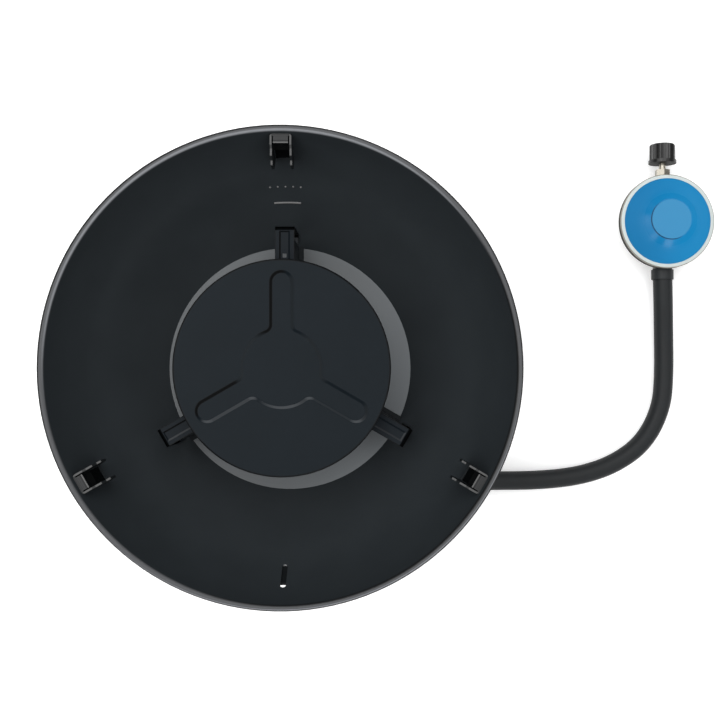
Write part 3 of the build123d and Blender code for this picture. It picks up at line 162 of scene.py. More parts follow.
class Finish(Nodes):
    """A material under way: shade() ends its tree."""

    def __init__(self, name):
        self.material = bpy.data.materials.new(name)
        self.material.use_nodes = True
        super().__init__(self.material.node_tree)
        self.tree.nodes.clear()
        self.place = self.add("ShaderNodeTexCoord", output="Object")

    def noise(self, scale, detail=2.0):
        return self.add("ShaderNodeTexNoise", {}, {"Vector": self.place, "Scale": scale, "Detail": detail})

    def band(self, value, low, high):
        """0 at low, 1 at high, with a soft start and end."""
        limits = {"Value": value, "From Min": low, "From Max": high}
        return self.add("ShaderNodeMapRange", {"interpolation_type": "SMOOTHSTEP"}, limits)

    def past(self, value, limit, soft):
        """0 before a limit and 1 past it, both in millimetres, over a soft zone on either side."""
        return self.band(value, (limit - soft) * MM, (limit + soft) * MM)

    def blend(self, share, first, second):
        return self.add("ShaderNodeMix", {"data_type": "RGBA"}, {0: share, 6: first, 7: second}, output=2)

    def axes(self, place=None):
        split = self.add("ShaderNodeSeparateXYZ", {}, {"Vector": place or self.place}).socket.node
        return [Wire(self, output) for output in split.outputs]

    def upness(self):
        """1 on level faces that look up, 0 on upright ones."""
        normal = self.add("ShaderNodeTexCoord", output="Normal")
        return self.axes(normal)[2]

    def lean(self, towards):
        """How far a face leans to a compass direction: 1 when it looks there, -1 when it looks away."""
        turn = math.radians(towards)
        x, y, _ = self.axes(self.add("ShaderNodeTexCoord", output="Normal"))
        return x * math.cos(turn) + y * math.sin(turn)

    def moved(self, shift=(0, 0, 0), turn=0.0):
        sockets = {"Vector": self.place, "Location": shift, "Rotation": (0, 0, math.radians(turn))}
        return self.add("ShaderNodeMapping", {}, sockets)

    def round_regulator(self):
        """Places measured from the regulator's upright axis."""
        return self.axes(self.moved([-value * MM for value in REGULATOR] + [0.0]))

    def reach(self, x, y):
        """Distance from an upright axis."""
        return (x * x + y * y) ** 0.5

    def bump(self, height, depth, strength=1.0):
        return self.add("ShaderNodeBump", {}, {"Height": height, "Distance": depth, "Strength": strength})

    def shade(self, **sockets):
        named = {name.replace("_", " "): value for name, value in sockets.items()}
        shader = self.add("ShaderNodeBsdfPrincipled", {}, named)
        self.add("ShaderNodeOutputMaterial", {}, {"Surface": shader})
        return self.material


def tone(red, green, blue):
    """A colour from its 0 to 255 screen values."""
    parts = [value / 255 for value in (red, green, blue)]
    return [part / 12.92 if part <= 0.04045 else ((part + 0.055) / 1.055) ** 2.4 for part in parts] + [1.0]


def grey(level):
    """The slightly blue grey of the coated sheets, from its 0 to 255 screen value."""
    light = tone(level, level, level)[0]
    return [light * 0.79, light, light * 1.16, 1.0]


def bowl_enamel():
    """Semi-matt black enamel: orange peel, faint mottling, and a smoother, paler bead with a painted highlight
    and painted shade on its sides, a painted shade line on its brink, and a painted glint at the end of the
    front slot.
    """
    f = Finish("bowl_enamel")
    x, y, _ = f.axes()
    reach = f.reach(x, y)
    bead = f.past(reach, BEAD_INSIDE, 0.4)
    # A painted shade line on the outermost edge of the bead
    brink_shade = f.past(reach, RIM_RADIUS - 1.05, 0.25)
    mottle = f.noise(38.0, 4.0)
    speck = f.band(f.noise(2600.0, 1.0), 0.66, 0.74)
    paint = f.blend(mottle, grey(32), grey(37))
    paint = f.blend(speck * 0.3, paint, grey(48))
    # The bead: paler enamel, with painted shade on its side away from the light and a painted highlight on its
    # lit side
    bead_lit_and_shaded = f.blend(f.band(f.lean(SHADED_SIDE), 0.05, 0.5), tone(66, 67, 69), tone(10, 11, 12))
    bead_highlight = f.band(f.lean(LIT_SIDE), 0.08, 0.45) * (0.7 + 0.3 * f.noise(140.0, 3.0))
    bead_lit_and_shaded = f.blend(bead_highlight, bead_lit_and_shaded, tone(122, 124, 128))
    paint_and_light = f.blend(bead, paint, bead_lit_and_shaded)
    # A painted highlight on the up-facing cut edge at the slot's end
    from_slot = f.axes(f.moved([-value * MM for value in SLOT_END]))
    off_slot = (f.reach(*from_slot[:2]) ** 2 + from_slot[2] ** 2) ** 0.5
    slot_glint = (1 - f.past(off_slot, SLOT_END_RADIUS, 0.3)) * f.band(f.upness(), 0.62, 0.75)
    paint_and_light = f.blend(slot_glint, paint_and_light, tone(128, 129, 130))
    return f.shade(
        Base_Color=f.blend(brink_shade, paint_and_light, tone(6, 6, 6)),
        Roughness=0.56 + 0.1 * mottle - 0.2 * bead + 0.4 * brink_shade,
        Specular_IOR_Level=0.22,
        Normal=f.bump(f.noise(620.0, 2.0), 0.05 * MM, 0.4),
    )


def floor_grey():
    """Grey aluminised sheet with the faint rings that spinning it leaves, and painted light that makes it
    paler towards the right.
    """
    f = Finish("floor_grey")
    x, y, _ = f.axes()
    lathe = {"W": f.reach(x, y), "Scale": 1500.0, "Detail": 3.0}
    rings = f.add("ShaderNodeTexNoise", {"noise_dimensions": "1D"}, lathe)
    cloud = f.noise(26.0, 4.0)
    tint = f.blend(cloud, tone(89, 92, 94), tone(98, 101, 103))
    # Painted light: paler towards the right
    painted_light = f.band(x - 0.3 * y, FLOOR_LIGHT_SPAN[0] * MM, FLOOR_LIGHT_SPAN[1] * MM)
    tint = f.blend(painted_light, tint, tone(107, 111, 114))
    tint = f.blend(rings * 0.2, tint, tone(119, 122, 124))
    return f.shade(
        Base_Color=tint,
        Roughness=0.5 + 0.14 * cloud,
        Specular_IOR_Level=0.15,
        Normal=f.bump(rings, 0.02 * MM, 0.3),
    )


def black_sheet(name, dark, light, gloss, shine=0.3):
    """Satin black powder coat on folded sheet, with its fine grain."""
    f = Finish(name)
    grain = f.noise(1900.0, 2.0)
    cloud = f.noise(60.0, 3.0)
    paint = f.blend(cloud, dark, light)
    return f.shade(
        Base_Color=f.blend(f.band(grain, 0.62, 0.75) * 0.25, paint, grey(46)),
        Roughness=gloss + 0.12 * grain,
        Specular_IOR_Level=shine,
        Normal=f.bump(grain, 0.05 * MM, 0.4),
    )


def disc_enamel():
    """Matt black enamel on the spreader disc, with a painted shade line on the rim, and painted highlight,
    painted shade and painted fill light on the flanks of its pressed Y.
    """
    f = Finish("disc_enamel")
    x, y, _ = f.axes()
    reach = f.reach(x, y)
    rim_shade = f.past(reach, DISC_RADIUS - 1.25, 0.35)
    grain = f.noise(1900.0, 2.0)
    paint = f.blend(f.noise(34.0, 4.0), tone(6, 14, 19), tone(10, 18, 24))
    paint = f.blend(f.band(grain, 0.62, 0.75) * 0.25, paint, grey(36))
    hub = f.past(y, HUB_FADE[0], 3.5) * (1 - f.past(y, HUB_FADE[1], 3.0))
    hub = hub * (1 - f.past(reach, Y_HUB + 4.0, 2.0))
    # A painted highlight on the flanks that lean to the lit side and painted shade on those that lean to the
    # shaded side, both faded out on the hub
    paint = f.blend(f.band(f.lean(LIT_SIDE), 0.3, 0.62) * (1 - hub), paint, tone(62, 65, 68))
    paint = f.blend(f.band(f.lean(SHADED_SIDE), 0.05, 0.4) * (1 - hub), paint, grey(3))
    # Painted light that fills in the shading of the hub's flanks and of the flanks that lean to the fill side
    shade_fill = hub * f.band(f.upness(), 0.99, 0.8) + f.band(f.lean(FILL_SIDE), 0.3, 0.55) * (1 - hub) * 0.8
    paint = f.blend(shade_fill, paint, tone(28, 32, 35))
    return f.shade(
        Base_Color=f.blend(rim_shade * 0.9, paint, grey(8)),
        Roughness=0.5 + 0.12 * grain,
        Specular_IOR_Level=0.12,
        Normal=f.bump(grain, 0.05 * MM, 0.4),
    )


def bracket_coat(side):
    """Black coat on a plate bracket: bare cut edges on the cheeks with a painted highlight where they face up,
    painted shade between the cheeks and in the tongue's crease, painted light on the tongue's top and a
    painted highlight on its bent end.
    """
    f = Finish("bracket_coat_" + side)
    outward = f.moved(turn=-SIDES[side])
    reach, across, _ = f.axes(outward)
    up = f.upness()
    grain = f.noise(1900.0, 2.0)
    aside = abs(across)
    cheek = f.past(aside, CHEEK_INSIDE, 0.15)
    bare_edge_and_glint = f.past(aside, CHEEK_EDGE, 0.1) * (1 - f.past(aside, CHEEK_OUTSIDE, 0.15)) * f.band(up, 0.5, 0.9)
    tongue = (1 - cheek) * f.band(up, 0.6, 0.9) * f.past(reach, TONGUE_START, 0.15)
    lip_glint = tongue * (1 - f.past(reach, LIP_END, 0.2))
    crease_shade = tongue * f.past(reach, CREASE_START, 0.1) * (1 - f.past(reach, CREASE_END, 0.15))
    ribs = f.add("ShaderNodeTexWave", {"bands_direction": "X"}, {"Vector": outward, "Scale": 260.0})
    paint = f.blend(f.noise(60.0, 3.0), grey(17), grey(23))
    # Painted shade on everything between the cheeks
    paint = f.blend(1 - cheek, paint, grey(6))
    # Painted light on the tongue's up-facing top, streaked along its ribs
    paint = f.blend(tongue * (0.4 + 0.35 * ribs), paint, tone(46, 47, 48))
    # Painted shade in the crease at the tongue's bend
    paint = f.blend(crease_shade * 0.8, paint, grey(5))
    # A painted highlight on the tongue's bent end
    paint = f.blend(lip_glint * 0.9, paint, tone(80, 80, 80))
    # The cheeks' cut edges: bare metal, with a painted highlight where they face up
    paint = f.blend(bare_edge_and_glint * (0.7 + 0.5 * grain), paint, tone(72, 72, 72))
    return f.shade(
        Base_Color=paint,
        Roughness=0.46 + 0.12 * grain,
        Specular_IOR_Level=0.25,
        Normal=f.bump(grain, 0.05 * MM, 0.4),
    )


def arm_coat(side):
    """The disc's enamel on a burner arm, with painted shade at its edges and round its outer bend, and a
    painted highlight and painted shade on faces that lean to the lit and the shaded side.
    """
    f = Finish("arm_coat_" + side)
    reach, across, _ = f.axes(f.moved(turn=-SIDES[side]))
    grain = f.noise(1900.0, 2.0)
    bend_shade = f.past(reach, ARM_REACH - 2.85, 0.35)
    edge = f.past(abs(across), ARM_HALF - 0.5, 0.2)
    paint = f.blend(f.noise(50.0, 4.0), tone(7, 14, 19), tone(11, 18, 24))
    paint = f.blend(f.band(grain, 0.62, 0.75) * 0.25, paint, grey(36))
    # A painted highlight on faces that lean to the lit side, painted shade on those that lean to the shaded
    # side, and painted shade along the edges
    paint = f.blend(f.band(f.lean(LIT_SIDE), 0.2, 0.6) * 0.8, paint, tone(64, 66, 68))
    paint = f.blend(f.band(f.lean(SHADED_SIDE), 0.1, 0.5), paint, grey(4))
    paint = f.blend(edge * 0.7, paint, grey(4))
    return f.shade(
        # Painted shade round the outer bend
        Base_Color=f.blend(bend_shade * 0.95, paint, grey(3)),
        Metallic=bend_shade * 0.9,
        Roughness=0.5 + 0.12 * grain,
        Specular_IOR_Level=0.12,
        Normal=f.bump(grain, 0.05 * MM, 0.4),
    )


def bright_metal(name, dark, light, rough, grain_scale, metal=1.0):
    """Plain metal with fine streaks and a cloudy tarnish."""
    f = Finish(name)
    streaks = f.noise(grain_scale, 3.0)
    tarnish = f.noise(90.0, 4.0)
    return f.shade(
        Base_Color=f.blend(tarnish * 0.6 + streaks * 0.4, dark, light),
        Metallic=metal,
        Roughness=rough + 0.16 * streaks - 0.06 * tarnish,
        Normal=f.bump(streaks, 0.02 * MM, 0.35),
    )


def ring_metal():
    """White nickel on the regulator's crimped ring, browned on its side, with painted shade on the lower
    crimp.
    """
    f = Finish("ring_metal")
    x, y, z = f.round_regulator()
    edge = f.past(f.reach(x, y), RING_EDGE, 0.3)
    tarnish = f.noise(110.0, 4.0)
    plate = f.blend(tarnish, tone(160, 168, 167), tone(174, 181, 179))
    crimp_shade = edge * (1 - f.past(z, RING_CRIMP, 0.8))
    plate = f.blend(edge * (0.5 + 0.3 * tarnish), plate, tone(118, 104, 86))
    return f.shade(
        # Painted shade on the lower crimp
        Base_Color=f.blend(crimp_shade * 0.95, plate, tone(22, 21, 17)),
        Metallic=(0.3 + 0.3 * edge) * (1 - crimp_shade),
        Roughness=0.26 + 0.12 * tarnish + 0.65 * crimp_shade,
        Normal=f.bump(f.noise(700.0, 2.0), 0.02 * MM, 0.3),
    )


def moulded_plastic(name, dark, light, rough, grain_scale=1300.0, shine=0.4):
    """Moulded plastic with a spark-eroded grain."""
    f = Finish(name)
    grain = f.noise(grain_scale, 3.0)
    rub = f.noise(45.0, 3.0)
    return f.shade(
        Base_Color=f.blend(rub, dark, light),
        Roughness=rough + 0.14 * rub,
        Specular_IOR_Level=shine,
        Normal=f.bump(grain, 0.05 * MM, 0.45),
    )


def nut_black():
    """Glossy black plastic on the hand nut, dull on its flange's end face."""
    f = Finish("nut_black")
    rub = f.noise(45.0, 3.0)
    dull = f.band(f.lean(270.0), 0.8, 0.95)
    return f.shade(
        Base_Color=f.blend(rub, tone(5, 5, 6), tone(9, 9, 10)),
        Metallic=0.85 * dull,
        Roughness=0.2 + 0.12 * rub + 0.3 * dull,
        Specular_IOR_Level=0.36,
        Normal=f.bump(f.noise(1300.0, 3.0), 0.05 * MM, 0.45),
    )


def hose_rubber(name, dark, light):
    """Black rubber with a fine cloth-wrap print and a little dust."""
    f = Finish(name)
    wrap = f.noise(2100.0, 2.0)
    dust = f.noise(120.0, 5.0)
    return f.shade(
        Base_Color=f.blend(f.band(dust, 0.45, 0.8) * 0.6, dark, light),
        Roughness=0.48 + 0.14 * dust,
        Specular_IOR_Level=0.27,
        Normal=f.bump(wrap, 0.04 * MM, 0.5),
    )


def cap_blue():
    """Satin blue paint on the regulator's cap, with painted light that makes its flat top paler and its cone
    paler towards the right, painted shade in the groove round one side of the flat, and duller down its cone.
    """
    f = Finish("cap_blue")
    x, y, _ = f.round_regulator()
    reach = f.reach(x, y)
    flat = 1 - f.past(reach, CAP_FLAT - 0.3, 0.2)
    # Painted shade in the groove round the flat top, only on its lower left side
    groove_shade = f.past(reach, CAP_FLAT - 0.25, 0.25) * (1 - f.past(reach, CAP_FLAT + 0.5, 0.2))
    groove_shade = groove_shade * (1 - f.past(x * 0.8 + y * 0.6, -3.5, 5.5))
    dusty = f.past(reach, CAP_FLAT + 7.5, 4.5)
    cloud = f.noise(55.0, 3.0)
    # Painted light: the cone paler towards the right
    cone_lit = f.blend(f.past(x + 0.01 * cloud, 5.0, 25.0), tone(0, 103, 153), tone(0, 116, 168))
    return f.shade(
        # Painted light: the flat top paler than the cone
        Base_Color=f.blend(groove_shade * 0.85, f.blend(flat, cone_lit, tone(40, 118, 161)), tone(0, 34, 62)),
        Roughness=0.18 + 0.08 * cloud + 0.1 * flat + 0.36 * dusty,
        Specular_IOR_Level=0.22,
        Normal=f.bump(f.noise(900.0, 2.0), 0.03 * MM, 0.3),
    )


def printed_white():
    """Screen-printed white on the panel and the knob, slightly uneven in cover."""
    f = Finish("printed_white")
    cover = f.noise(1500.0, 3.0)
    return f.shade(
        Base_Color=f.blend(cover, tone(176, 177, 176), tone(206, 207, 206)),
        Roughness=0.5 + 0.1 * cover,
        Specular_IOR_Level=0.3,
        Normal=f.bump(cover, 0.02 * MM, 0.3),
    )


# One finish for each material slot
FINISHES = {
    "bowl_enamel": bowl_enamel(),
    "floor_plate": floor_grey(),
    "black_sheet": black_sheet("black_sheet", grey(22), grey(29), 0.42),
    "disc_enamel": disc_enamel(),
    "plated_steel": bright_metal("plated_steel", tone(120, 120, 118), tone(156, 156, 154), 0.34, 900.0),
    "burner_steel": bright_metal("burner_steel", tone(98, 95, 90), tone(138, 135, 130), 0.45, 700.0),
    "brass": bright_metal("brass", tone(140, 106, 50), tone(184, 150, 86), 0.3, 800.0),
    "black_plastic": moulded_plastic("black_plastic", tone(12, 12, 13), tone(18, 18, 19), 0.26, shine=0.5),
    "button_plastic": moulded_plastic("button_plastic", grey(20), grey(27), 0.2, 300.0),
    "ceramic": moulded_plastic("ceramic", tone(178, 174, 164), tone(194, 191, 184), 0.2, 200.0),
    "hose_rubber": hose_rubber("hose_rubber", grey(20), grey(28)),
    "foot_rubber": hose_rubber("foot_rubber", grey(22), grey(31)),
    "cuff_black": black_sheet("cuff_black", grey(22), grey(28), 0.45),
    "diecast": bright_metal("diecast", tone(126, 124, 118), tone(158, 156, 150), 0.48, 1600.0, metal=0.7),
    "nickel": bright_metal("nickel", tone(136, 131, 121), tone(168, 163, 152), 0.24, 500.0),
    "ring_metal": ring_metal(),
    "cap_blue": cap_blue(),
}
# The level marks' pale grey is a painted highlight on their raised tops
MARK_HIGHLIGHT = black_sheet("mark_coat", tone(92, 92, 92), tone(108, 108, 108), 0.5)
SKIRT_COAT = black_sheet("skirt_coat", grey(24), grey(30), 0.5, 0.12)
PRINT = printed_white()

# Nodes that look unlike the rest of their slot; the bracket backing plates, the slot cover and the bracket
# rivets are painted darker, as painted shade
OWN_FINISHES = {
    "bracket_backing_plates": black_sheet("inner_black", grey(6), grey(9), 0.8, 0.05),
    "slot_cover": black_sheet("slot_black", grey(14), grey(19), 0.6, 0.1),
    "bracket_rivets": black_sheet("rivet_black", grey(8), grey(12), 0.5, 0.1),
    "inlet_nut": nut_black(),
    "ignition_lead": moulded_plastic("lead_sleeve", tone(110, 42, 34), tone(128, 54, 44), 0.5, 800.0),
}
for side in SIDES:
    OWN_FINISHES["plate_bracket_" + side] = bracket_coat(side)
    OWN_FINISHES["burner_arm_" + side] = arm_coat(side)
for row in frame["record"]["subparts"]:
    node = nodes[row["node"]]
    node.data.materials.clear()
    node.data.materials.append(OWN_FINISHES.get(row["node"]) or FINISHES[row["material_slot"]])
    node["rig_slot"] = row["material_slot"]


class Former(Nodes):
    """A repeated shape under way: its named sizes go in, and piece() gives the finished object."""

    def __init__(self, name, **sizes):
        self.name = name
        self.values = sizes
        super().__init__(bpy.data.node_groups.new(name, "GeometryNodeTree"))
        self.tree.interface.new_socket("Shape", in_out="OUTPUT", socket_type="NodeSocketGeometry")
        for label, value in sizes.items():
            kind = "NodeSocketInt" if isinstance(value, int) else "NodeSocketFloat"
            self.tree.interface.new_socket(label, in_out="INPUT", socket_type=kind)
        entry = self.tree.nodes.new("NodeGroupInput")
        self.sizes = {label: Wire(self, entry.outputs[label]) for label in sizes}

    def ring(self, count, radius):
        sockets = {"Resolution": count, "Radius": radius}
        return self.add("GeometryNodeCurvePrimitiveCircle", {"mode": "RADIUS"}, sockets)

    def arc(self, count, radius, middle, sweep):
        angles = {"Start Angle": middle - sweep * 0.5, "Sweep Angle": sweep}
        sockets = {"Resolution": count, "Radius": radius, **angles}
        return self.add("GeometryNodeCurveArc", {"mode": "RADIUS"}, sockets)

    def tube(self, path, thickness, corners=10):
        sockets = {"Curve": path, "Profile Curve": self.ring(corners, thickness), "Fill Caps": True}
        return self.add("GeometryNodeCurveToMesh", {}, sockets)

    def repeat(self, points, shape, turn=None, scale=None):
        sockets = {"Points": points, "Instance": shape}
        sockets.update({name: value for name, value in (("Rotation", turn), ("Scale", scale)) if value})
        return self.add("GeometryNodeInstanceOnPoints", {}, sockets)

    def outwards(self):
        """The turn that points a shape's x away from the middle."""
        place = self.add("GeometryNodeInputPosition")
        return self.add("FunctionNodeAlignRotationToVector", {"axis": "X"}, {"Vector": place})

    def vector(self, x=0.0, y=0.0, z=0.0):
        return self.add("ShaderNodeCombineXYZ", {}, {"X": x, "Y": y, "Z": z})

    def put(self, shape, shift=(0, 0, 0), turn=(0, 0, 0)):
        sockets = {"Geometry": shape, "Translation": shift, "Rotation": turn}
        return self.add("GeometryNodeTransform", {}, sockets)

    def join(self, *shapes):
        joined = self.tree.nodes.new("GeometryNodeJoinGeometry")
        for shape in shapes:
            self.tree.links.new(shape.socket, joined.inputs[0])
        return Wire(self, joined.outputs[0])

    def piece(self, shape, finish, body, slot):
        whole = self.add("GeometryNodeRealizeInstances", {}, {"Geometry": shape})
        dressed = self.add("GeometryNodeSetMaterial", {}, {"Geometry": whole, "Material": finish})
        self.add("NodeGroupOutput", {}, {"Shape": dressed})
        made = bpy.data.objects.new(self.name, bpy.data.meshes.new(self.name))
        bpy.context.scene.collection.objects.link(made)
        former = made.modifiers.new(self.name, "NODES")
        former.node_group = self.tree
        for item in self.tree.interface.items_tree:
            if item.in_out == "INPUT":
                former[item.identifier] = self.values[item.name]
        solid = bpy.data.meshes.new_from_object(made.evaluated_get(bpy.context.evaluated_depsgraph_get()))
        made.modifiers.remove(former)
        made.data = solid
        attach(made, body)
        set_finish(made, slot)


def on_wall(radius):
    """The height of the bowl's inner face at a radius."""
    return WALL_ARC_HEIGHT - math.sqrt(WALL_ARC**2 - (radius - WALL_ARC_RADIUS) ** 2)


def level_marks():
    """A raised bar and a row of pips pressed in the bowl's wall, for the water level, coloured pale grey as a
    painted highlight.
    """
    bar_radius, pip_radius = 119.8, 129.6
    f = Former(
        "level_marks",
        Bar_radius=bar_radius * MM,
        Bar_height=on_wall(bar_radius) * MM,
        Bar_length=19.4 * MM,
        Bar_thickness=0.75 * MM,
        Pip_count=5,
        Pip_radius=pip_radius * MM,
        Pip_height=on_wall(pip_radius) * MM,
        Pip_row=21.9 * MM,
        Pip_size=0.75 * MM,
        Pip_shift=0.7 * MM,
    )
    s = f.sizes
    up = math.radians(SIDES["back"])
    path = f.arc(25, s["Bar_radius"], up, s["Bar_length"] / s["Bar_radius"])
    bar = f.put(f.tube(path, s["Bar_thickness"]), f.vector(z=s["Bar_height"]))
    middle = up + s["Pip_shift"] / s["Pip_radius"]
    row = f.arc(s["Pip_count"], s["Pip_radius"], middle, s["Pip_row"] / s["Pip_radius"])
    pip = f.add("GeometryNodeMeshIcoSphere", {}, {"Radius": s["Pip_size"], "Subdivisions": 2})
    pips = f.put(f.repeat(row, pip), f.vector(z=s["Pip_height"]))
    f.piece(f.join(bar, pips), MARK_HIGHLIGHT, "grill", "bowl_enamel")


def knob_ribs():
    """Finger ribs round the knob's skirt."""
    f = Former("knob_ribs", Count=40, Circle=20.85 * MM, Rib_radius=0.6 * MM, Rib_length=4.6 * MM)
    s = f.sizes
    sockets = {"Vertices": 10, "Radius": s["Rib_radius"], "Depth": s["Rib_length"]}
    rib = f.add("GeometryNodeMeshCylinder", {}, sockets)
    ribs = f.repeat(f.ring(s["Count"], s["Circle"]), rib)
    place = f.vector(y=KNOB_SKIRT_MIDDLE * MM, z=TAP_HEIGHT * MM)
    f.piece(f.put(ribs, place, (math.pi / 2, 0, 0)), FINISHES["black_plastic"], "knob", "black_plastic")


def knob_pointer():
    """The white line on the knob's grip."""
    f = Former("knob_pointer", Length=9.0 * MM, Width=1.4 * MM, Lift=11.0 * MM)
    s = f.sizes
    ends = {"Start Location": f.vector(z=s["Length"] * -0.5), "Offset": f.vector(z=s["Length"] * 0.5)}
    line = f.add("GeometryNodeMeshLine", {"mode": "END_POINTS"}, ends)
    path = f.add("GeometryNodeMeshToCurve", {}, {"Mesh": line})
    stroke = f.tube(path, s["Width"] * 0.5, 16)
    place = f.vector(y=(KNOB_FACE + 0.55) * MM, z=s["Lift"] + TAP_HEIGHT * MM)
    f.piece(f.put(stroke, place), PRINT, "knob", "black_plastic")


def dial_marks():
    """Ticks on the panel over the knob, from low to high."""
    f = Former(
        "dial_marks",
        Count=9,
        Circle=27.5 * MM,
        Sweep=math.radians(128.0),
        Tick_width=1.0 * MM,
        Tick_length=2.0 * MM,
        Growth=0.12,
        Print=0.3 * MM,
    )
    s = f.sizes
    tick = f.add("GeometryNodeMeshCube", {}, {"Size": f.vector(s["Tick_length"], s["Tick_width"], s["Print"])})
    grown = f.add("GeometryNodeInputIndex") * s["Growth"] + 1.0
    row = f.arc(s["Count"], s["Circle"], math.pi / 2, s["Sweep"])
    ticks = f.repeat(row, tick, f.outwards(), f.vector(grown, grown ** 0.5, 1.0))
    place = f.vector(y=PANEL_FACE * MM, z=TAP_HEIGHT * MM)
    f.piece(f.put(ticks, place, (math.pi / 2, 0, 0)), PRINT, "grill", "black_sheet")


def nut_thread():
    """The thread in the hand nut's mouth."""
    f = Former("nut_thread", Turns=4.0, Radius=7.25 * MM, Length=6.4 * MM, Thread=0.6 * MM)
    s = f.sizes
    radius = {"Start Radius": s["Radius"], "End Radius": s["Radius"]}
    sockets = {"Resolution": 48, "Rotations": s["Turns"], "Height": s["Length"], **radius}
    thread = f.tube(f.add("GeometryNodeCurveSpiral", {}, sockets), s["Thread"], 4)
    place = f.vector(REGULATOR[0] * MM, NUT_THREAD_START * MM, NUT_AXIS_HEIGHT * MM)
    f.piece(f.put(thread, place, (-math.pi / 2, 0, 0)), FINISHES["brass"], "nut", "brass")


def arm_skirts():
    """A side sheet under each burner arm, with its foot turned out on the floor."""
    f = Former(
        "arm_skirts",
        Half_width=ARM_HALF * MM,
        Sheet=1.2 * MM,
        Foot=3.6 * MM,
        Start=63.0 * MM,
        End=90.0 * MM,
        Floor=FLOOR_TOP * MM,
        Top=(ARM_TOP - 0.7) * MM,
    )
    s = f.sizes
    run, tall = s["End"] - s["Start"], s["Top"] - s["Floor"]
    wall = f.add("GeometryNodeMeshCube", {}, {"Size": f.vector(run, s["Sheet"], tall)})
    wall = f.put(wall, f.vector(0, s["Half_width"] - s["Sheet"] * 0.5, s["Floor"] + tall * 0.5))
    foot = f.add("GeometryNodeMeshCube", {}, {"Size": f.vector(run, s["Foot"] + s["Sheet"] * 0.5, s["Sheet"])})
    aside = s["Half_width"] + s["Foot"] * 0.5 - s["Sheet"] * 0.25
    foot = f.put(foot, f.vector(0, aside, s["Floor"] + s["Sheet"] * 0.5))
    skirt = f.join(wall, foot)
    middle = (s["Start"] + s["End"]) * 0.5
    skirts = []
    for side, degrees in SIDES.items():
        angle = math.radians(degrees)
        turn = angle + (math.pi if side == "back" else 0.0)
        place = f.vector(middle * math.cos(angle), middle * math.sin(angle))
        skirts.append(f.put(skirt, place, (0, 0, turn)))
    f.piece(f.join(*skirts), SKIRT_COAT, "grill", "black_sheet")


def shoe_ribs(side):
    """Moulded ribs round a leg's rubber shoe."""
    f = Former(
        "shoe_ribs_" + side,
        Count=4,
        Start=49.4 * MM,
        Pitch=3.0 * MM,
        Depth=15.2 * MM,
        Width=16.2 * MM,
        Corner=0.8 * MM,
        Rib=0.55 * MM,
        Side=math.radians(SIDES[side]),
    )
    s = f.sizes
    sides = {"Width": s["Depth"], "Height": s["Width"]}
    outline = f.add("GeometryNodeCurvePrimitiveQuadrilateral", {"mode": "RECTANGLE"}, sides)
    corners = {"Curve": outline, "Radius": s["Corner"], "Count": 4}
    rib = f.tube(f.add("GeometryNodeFilletCurve", {"mode": "POLY"}, corners), s["Rib"], 8)
    steps = {"Count": s["Count"], "Start Location": f.vector(z=s["Start"]), "Offset": f.vector(z=s["Pitch"])}
    row = f.add("GeometryNodeMeshLine", {"mode": "OFFSET"}, steps)
    ribs = f.put(f.repeat(row, rib), (0, 0, 0), (0, math.pi - math.radians(LEG_SPLAY), 0))
    ribs = f.put(ribs, (LEG_PIN_REACH * MM, 0, LEG_PIN_HEIGHT * MM))
    ribs = f.put(ribs, (0, 0, 0), f.vector(z=s["Side"]))
    f.piece(ribs, FINISHES["foot_rubber"], side + "_leg", "foot_rubber")


level_marks()
knob_ribs()
knob_pointer()
dial_marks()
nut_thread()
arm_skirts()
for side in SIDES:
    shoe_ribs(side)

# The hose, from the tap under the bowl to the regulator: the route's points, in millimetres
HOSE_ROUTE = [
    (21.3, -89.0, 30.0),
    (60.0, -89.0, 30.0),
    (103.0, -89.0, 22.0),
    (149.0, -89.0, 10.5),
    (192.6, -89.2, 7.6),
    (227.3, -85.3, 7.6),
    (255.2, -75.5, 7.6),
    (278.0, -58.4, 7.6),
    (291.6, -30.9, 7.6),
    (293.6, -2.8, 7.6),
    (293.0, 28.3, 8.2),
    (291.4, 58.0, 13.0),
    (290.8, 79.3, 13.0),
]
HOSE_RADIUS = 7.5 * MM


def laid_hose():
    """The hose as a smooth line with the route's points as its control points."""
    line = bpy.data.curves.new("hose", "CURVE")
    line.dimensions = "3D"
    line.bevel_depth = HOSE_RADIUS
    line.bevel_resolution = 10
    line.resolution_u = 16
    line.use_fill_caps = True
    run = line.splines.new("NURBS")
    run.points.add(len(HOSE_ROUTE) - 1)
    for point, place in zip(run.points, HOSE_ROUTE):
        point.co = (*(value * MM for value in place), 1.0)
    run.order_u = 3
    run.use_endpoint_u = True
    line.materials.append(FINISHES["hose_rubber"])
    hose = bpy.data.objects.new("hose", line)
    bpy.context.scene.collection.objects.link(hose)
    return hose


hose = laid_hose()
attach(hose, "grill")
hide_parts("gas_hose")
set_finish(hose, "hose_rubber")

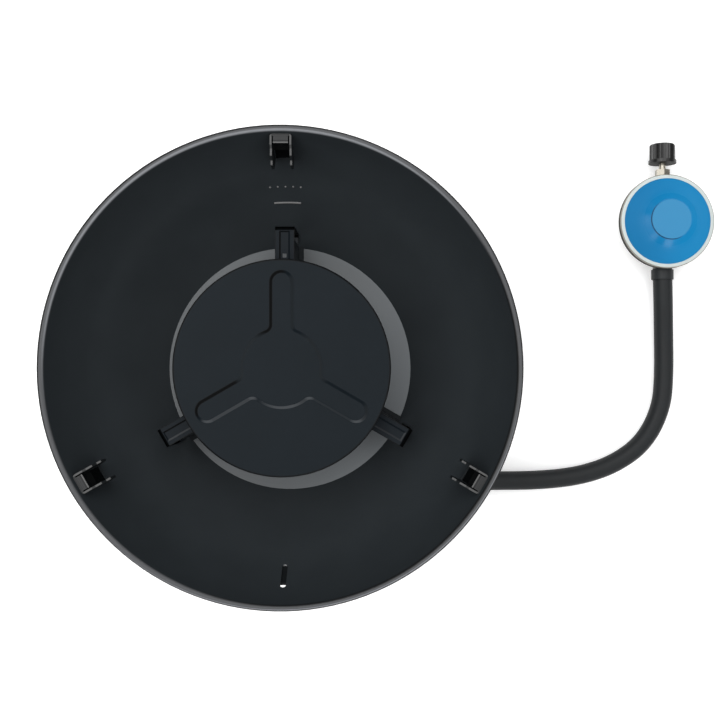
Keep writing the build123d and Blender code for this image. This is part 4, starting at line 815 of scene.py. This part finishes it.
# Floor, light and camera
bpy.ops.mesh.primitive_plane_add(size=8.0)
ground = bpy.context.object
ground.name = "ground"
pale = Finish("pale_floor")
ground.data.materials.append(
    pale.shade(
        Base_Color=pale.blend(pale.noise(3.0, 2.0), (0.86, 0.86, 0.86, 1), (0.9, 0.9, 0.9, 1)),
        Roughness=0.9,
        Emission_Color=(1.0, 1.0, 1.0, 1.0),
        Emission_Strength=0.3,
    )
)

world = bpy.data.worlds.new("studio")
bpy.context.scene.world = world
world.use_nodes = True
sky = world.node_tree.nodes["Background"]
sky.inputs["Color"].default_value = (1.0, 1.0, 1.0, 1.0)
sky.inputs["Strength"].default_value = 0.4


LIT_SPOT = (0.05, 0.0, 0.1)


def softbox(name, compass, rise, power, width=1.5, height=1.5, distance=1.7):
    """A lamp that looks at the grill from a compass direction and a height, both in degrees."""
    turn, lift = math.radians(compass), math.radians(rise)
    lamp = bpy.data.lights.new(name, "AREA")
    lamp.shape = "RECTANGLE"
    lamp.size = width
    lamp.size_y = height
    lamp.energy = power
    holder = bpy.data.objects.new(name, lamp)
    bpy.context.scene.collection.objects.link(holder)
    arm = Vector((math.cos(turn) * math.cos(lift), math.sin(turn) * math.cos(lift), math.sin(lift)))
    holder.location = Vector(LIT_SPOT) + arm * distance
    holder.rotation_euler = (-arm).to_track_quat("-Z", "Y").to_euler()


softbox("front_left", 235, 40, 3.5, 0.6, 0.35)
softbox("front", 291, 32, 3.5, 0.6, 0.35)
softbox("front_right", 333, 36, 3.5, 1.3, 0.35)
softbox("right", 5, 62, 9.0)
softbox("back", 95, 58, 16.0)
softbox("left", 180, 58, 19.0)

view = bpy.context.scene.view_settings
view.view_transform = "Standard"
view.look = "None"

lens = bpy.data.cameras.new("camera")
lens.sensor_width = 36.0
lens.lens = 52.96
lens.shift_x = -0.0212
lens.shift_y = 0.0166
camera = bpy.data.objects.new("camera", lens)
bpy.context.scene.collection.objects.link(camera)
camera.location = (0.0633, -0.0026, 0.8525)
bpy.context.scene.camera = camera
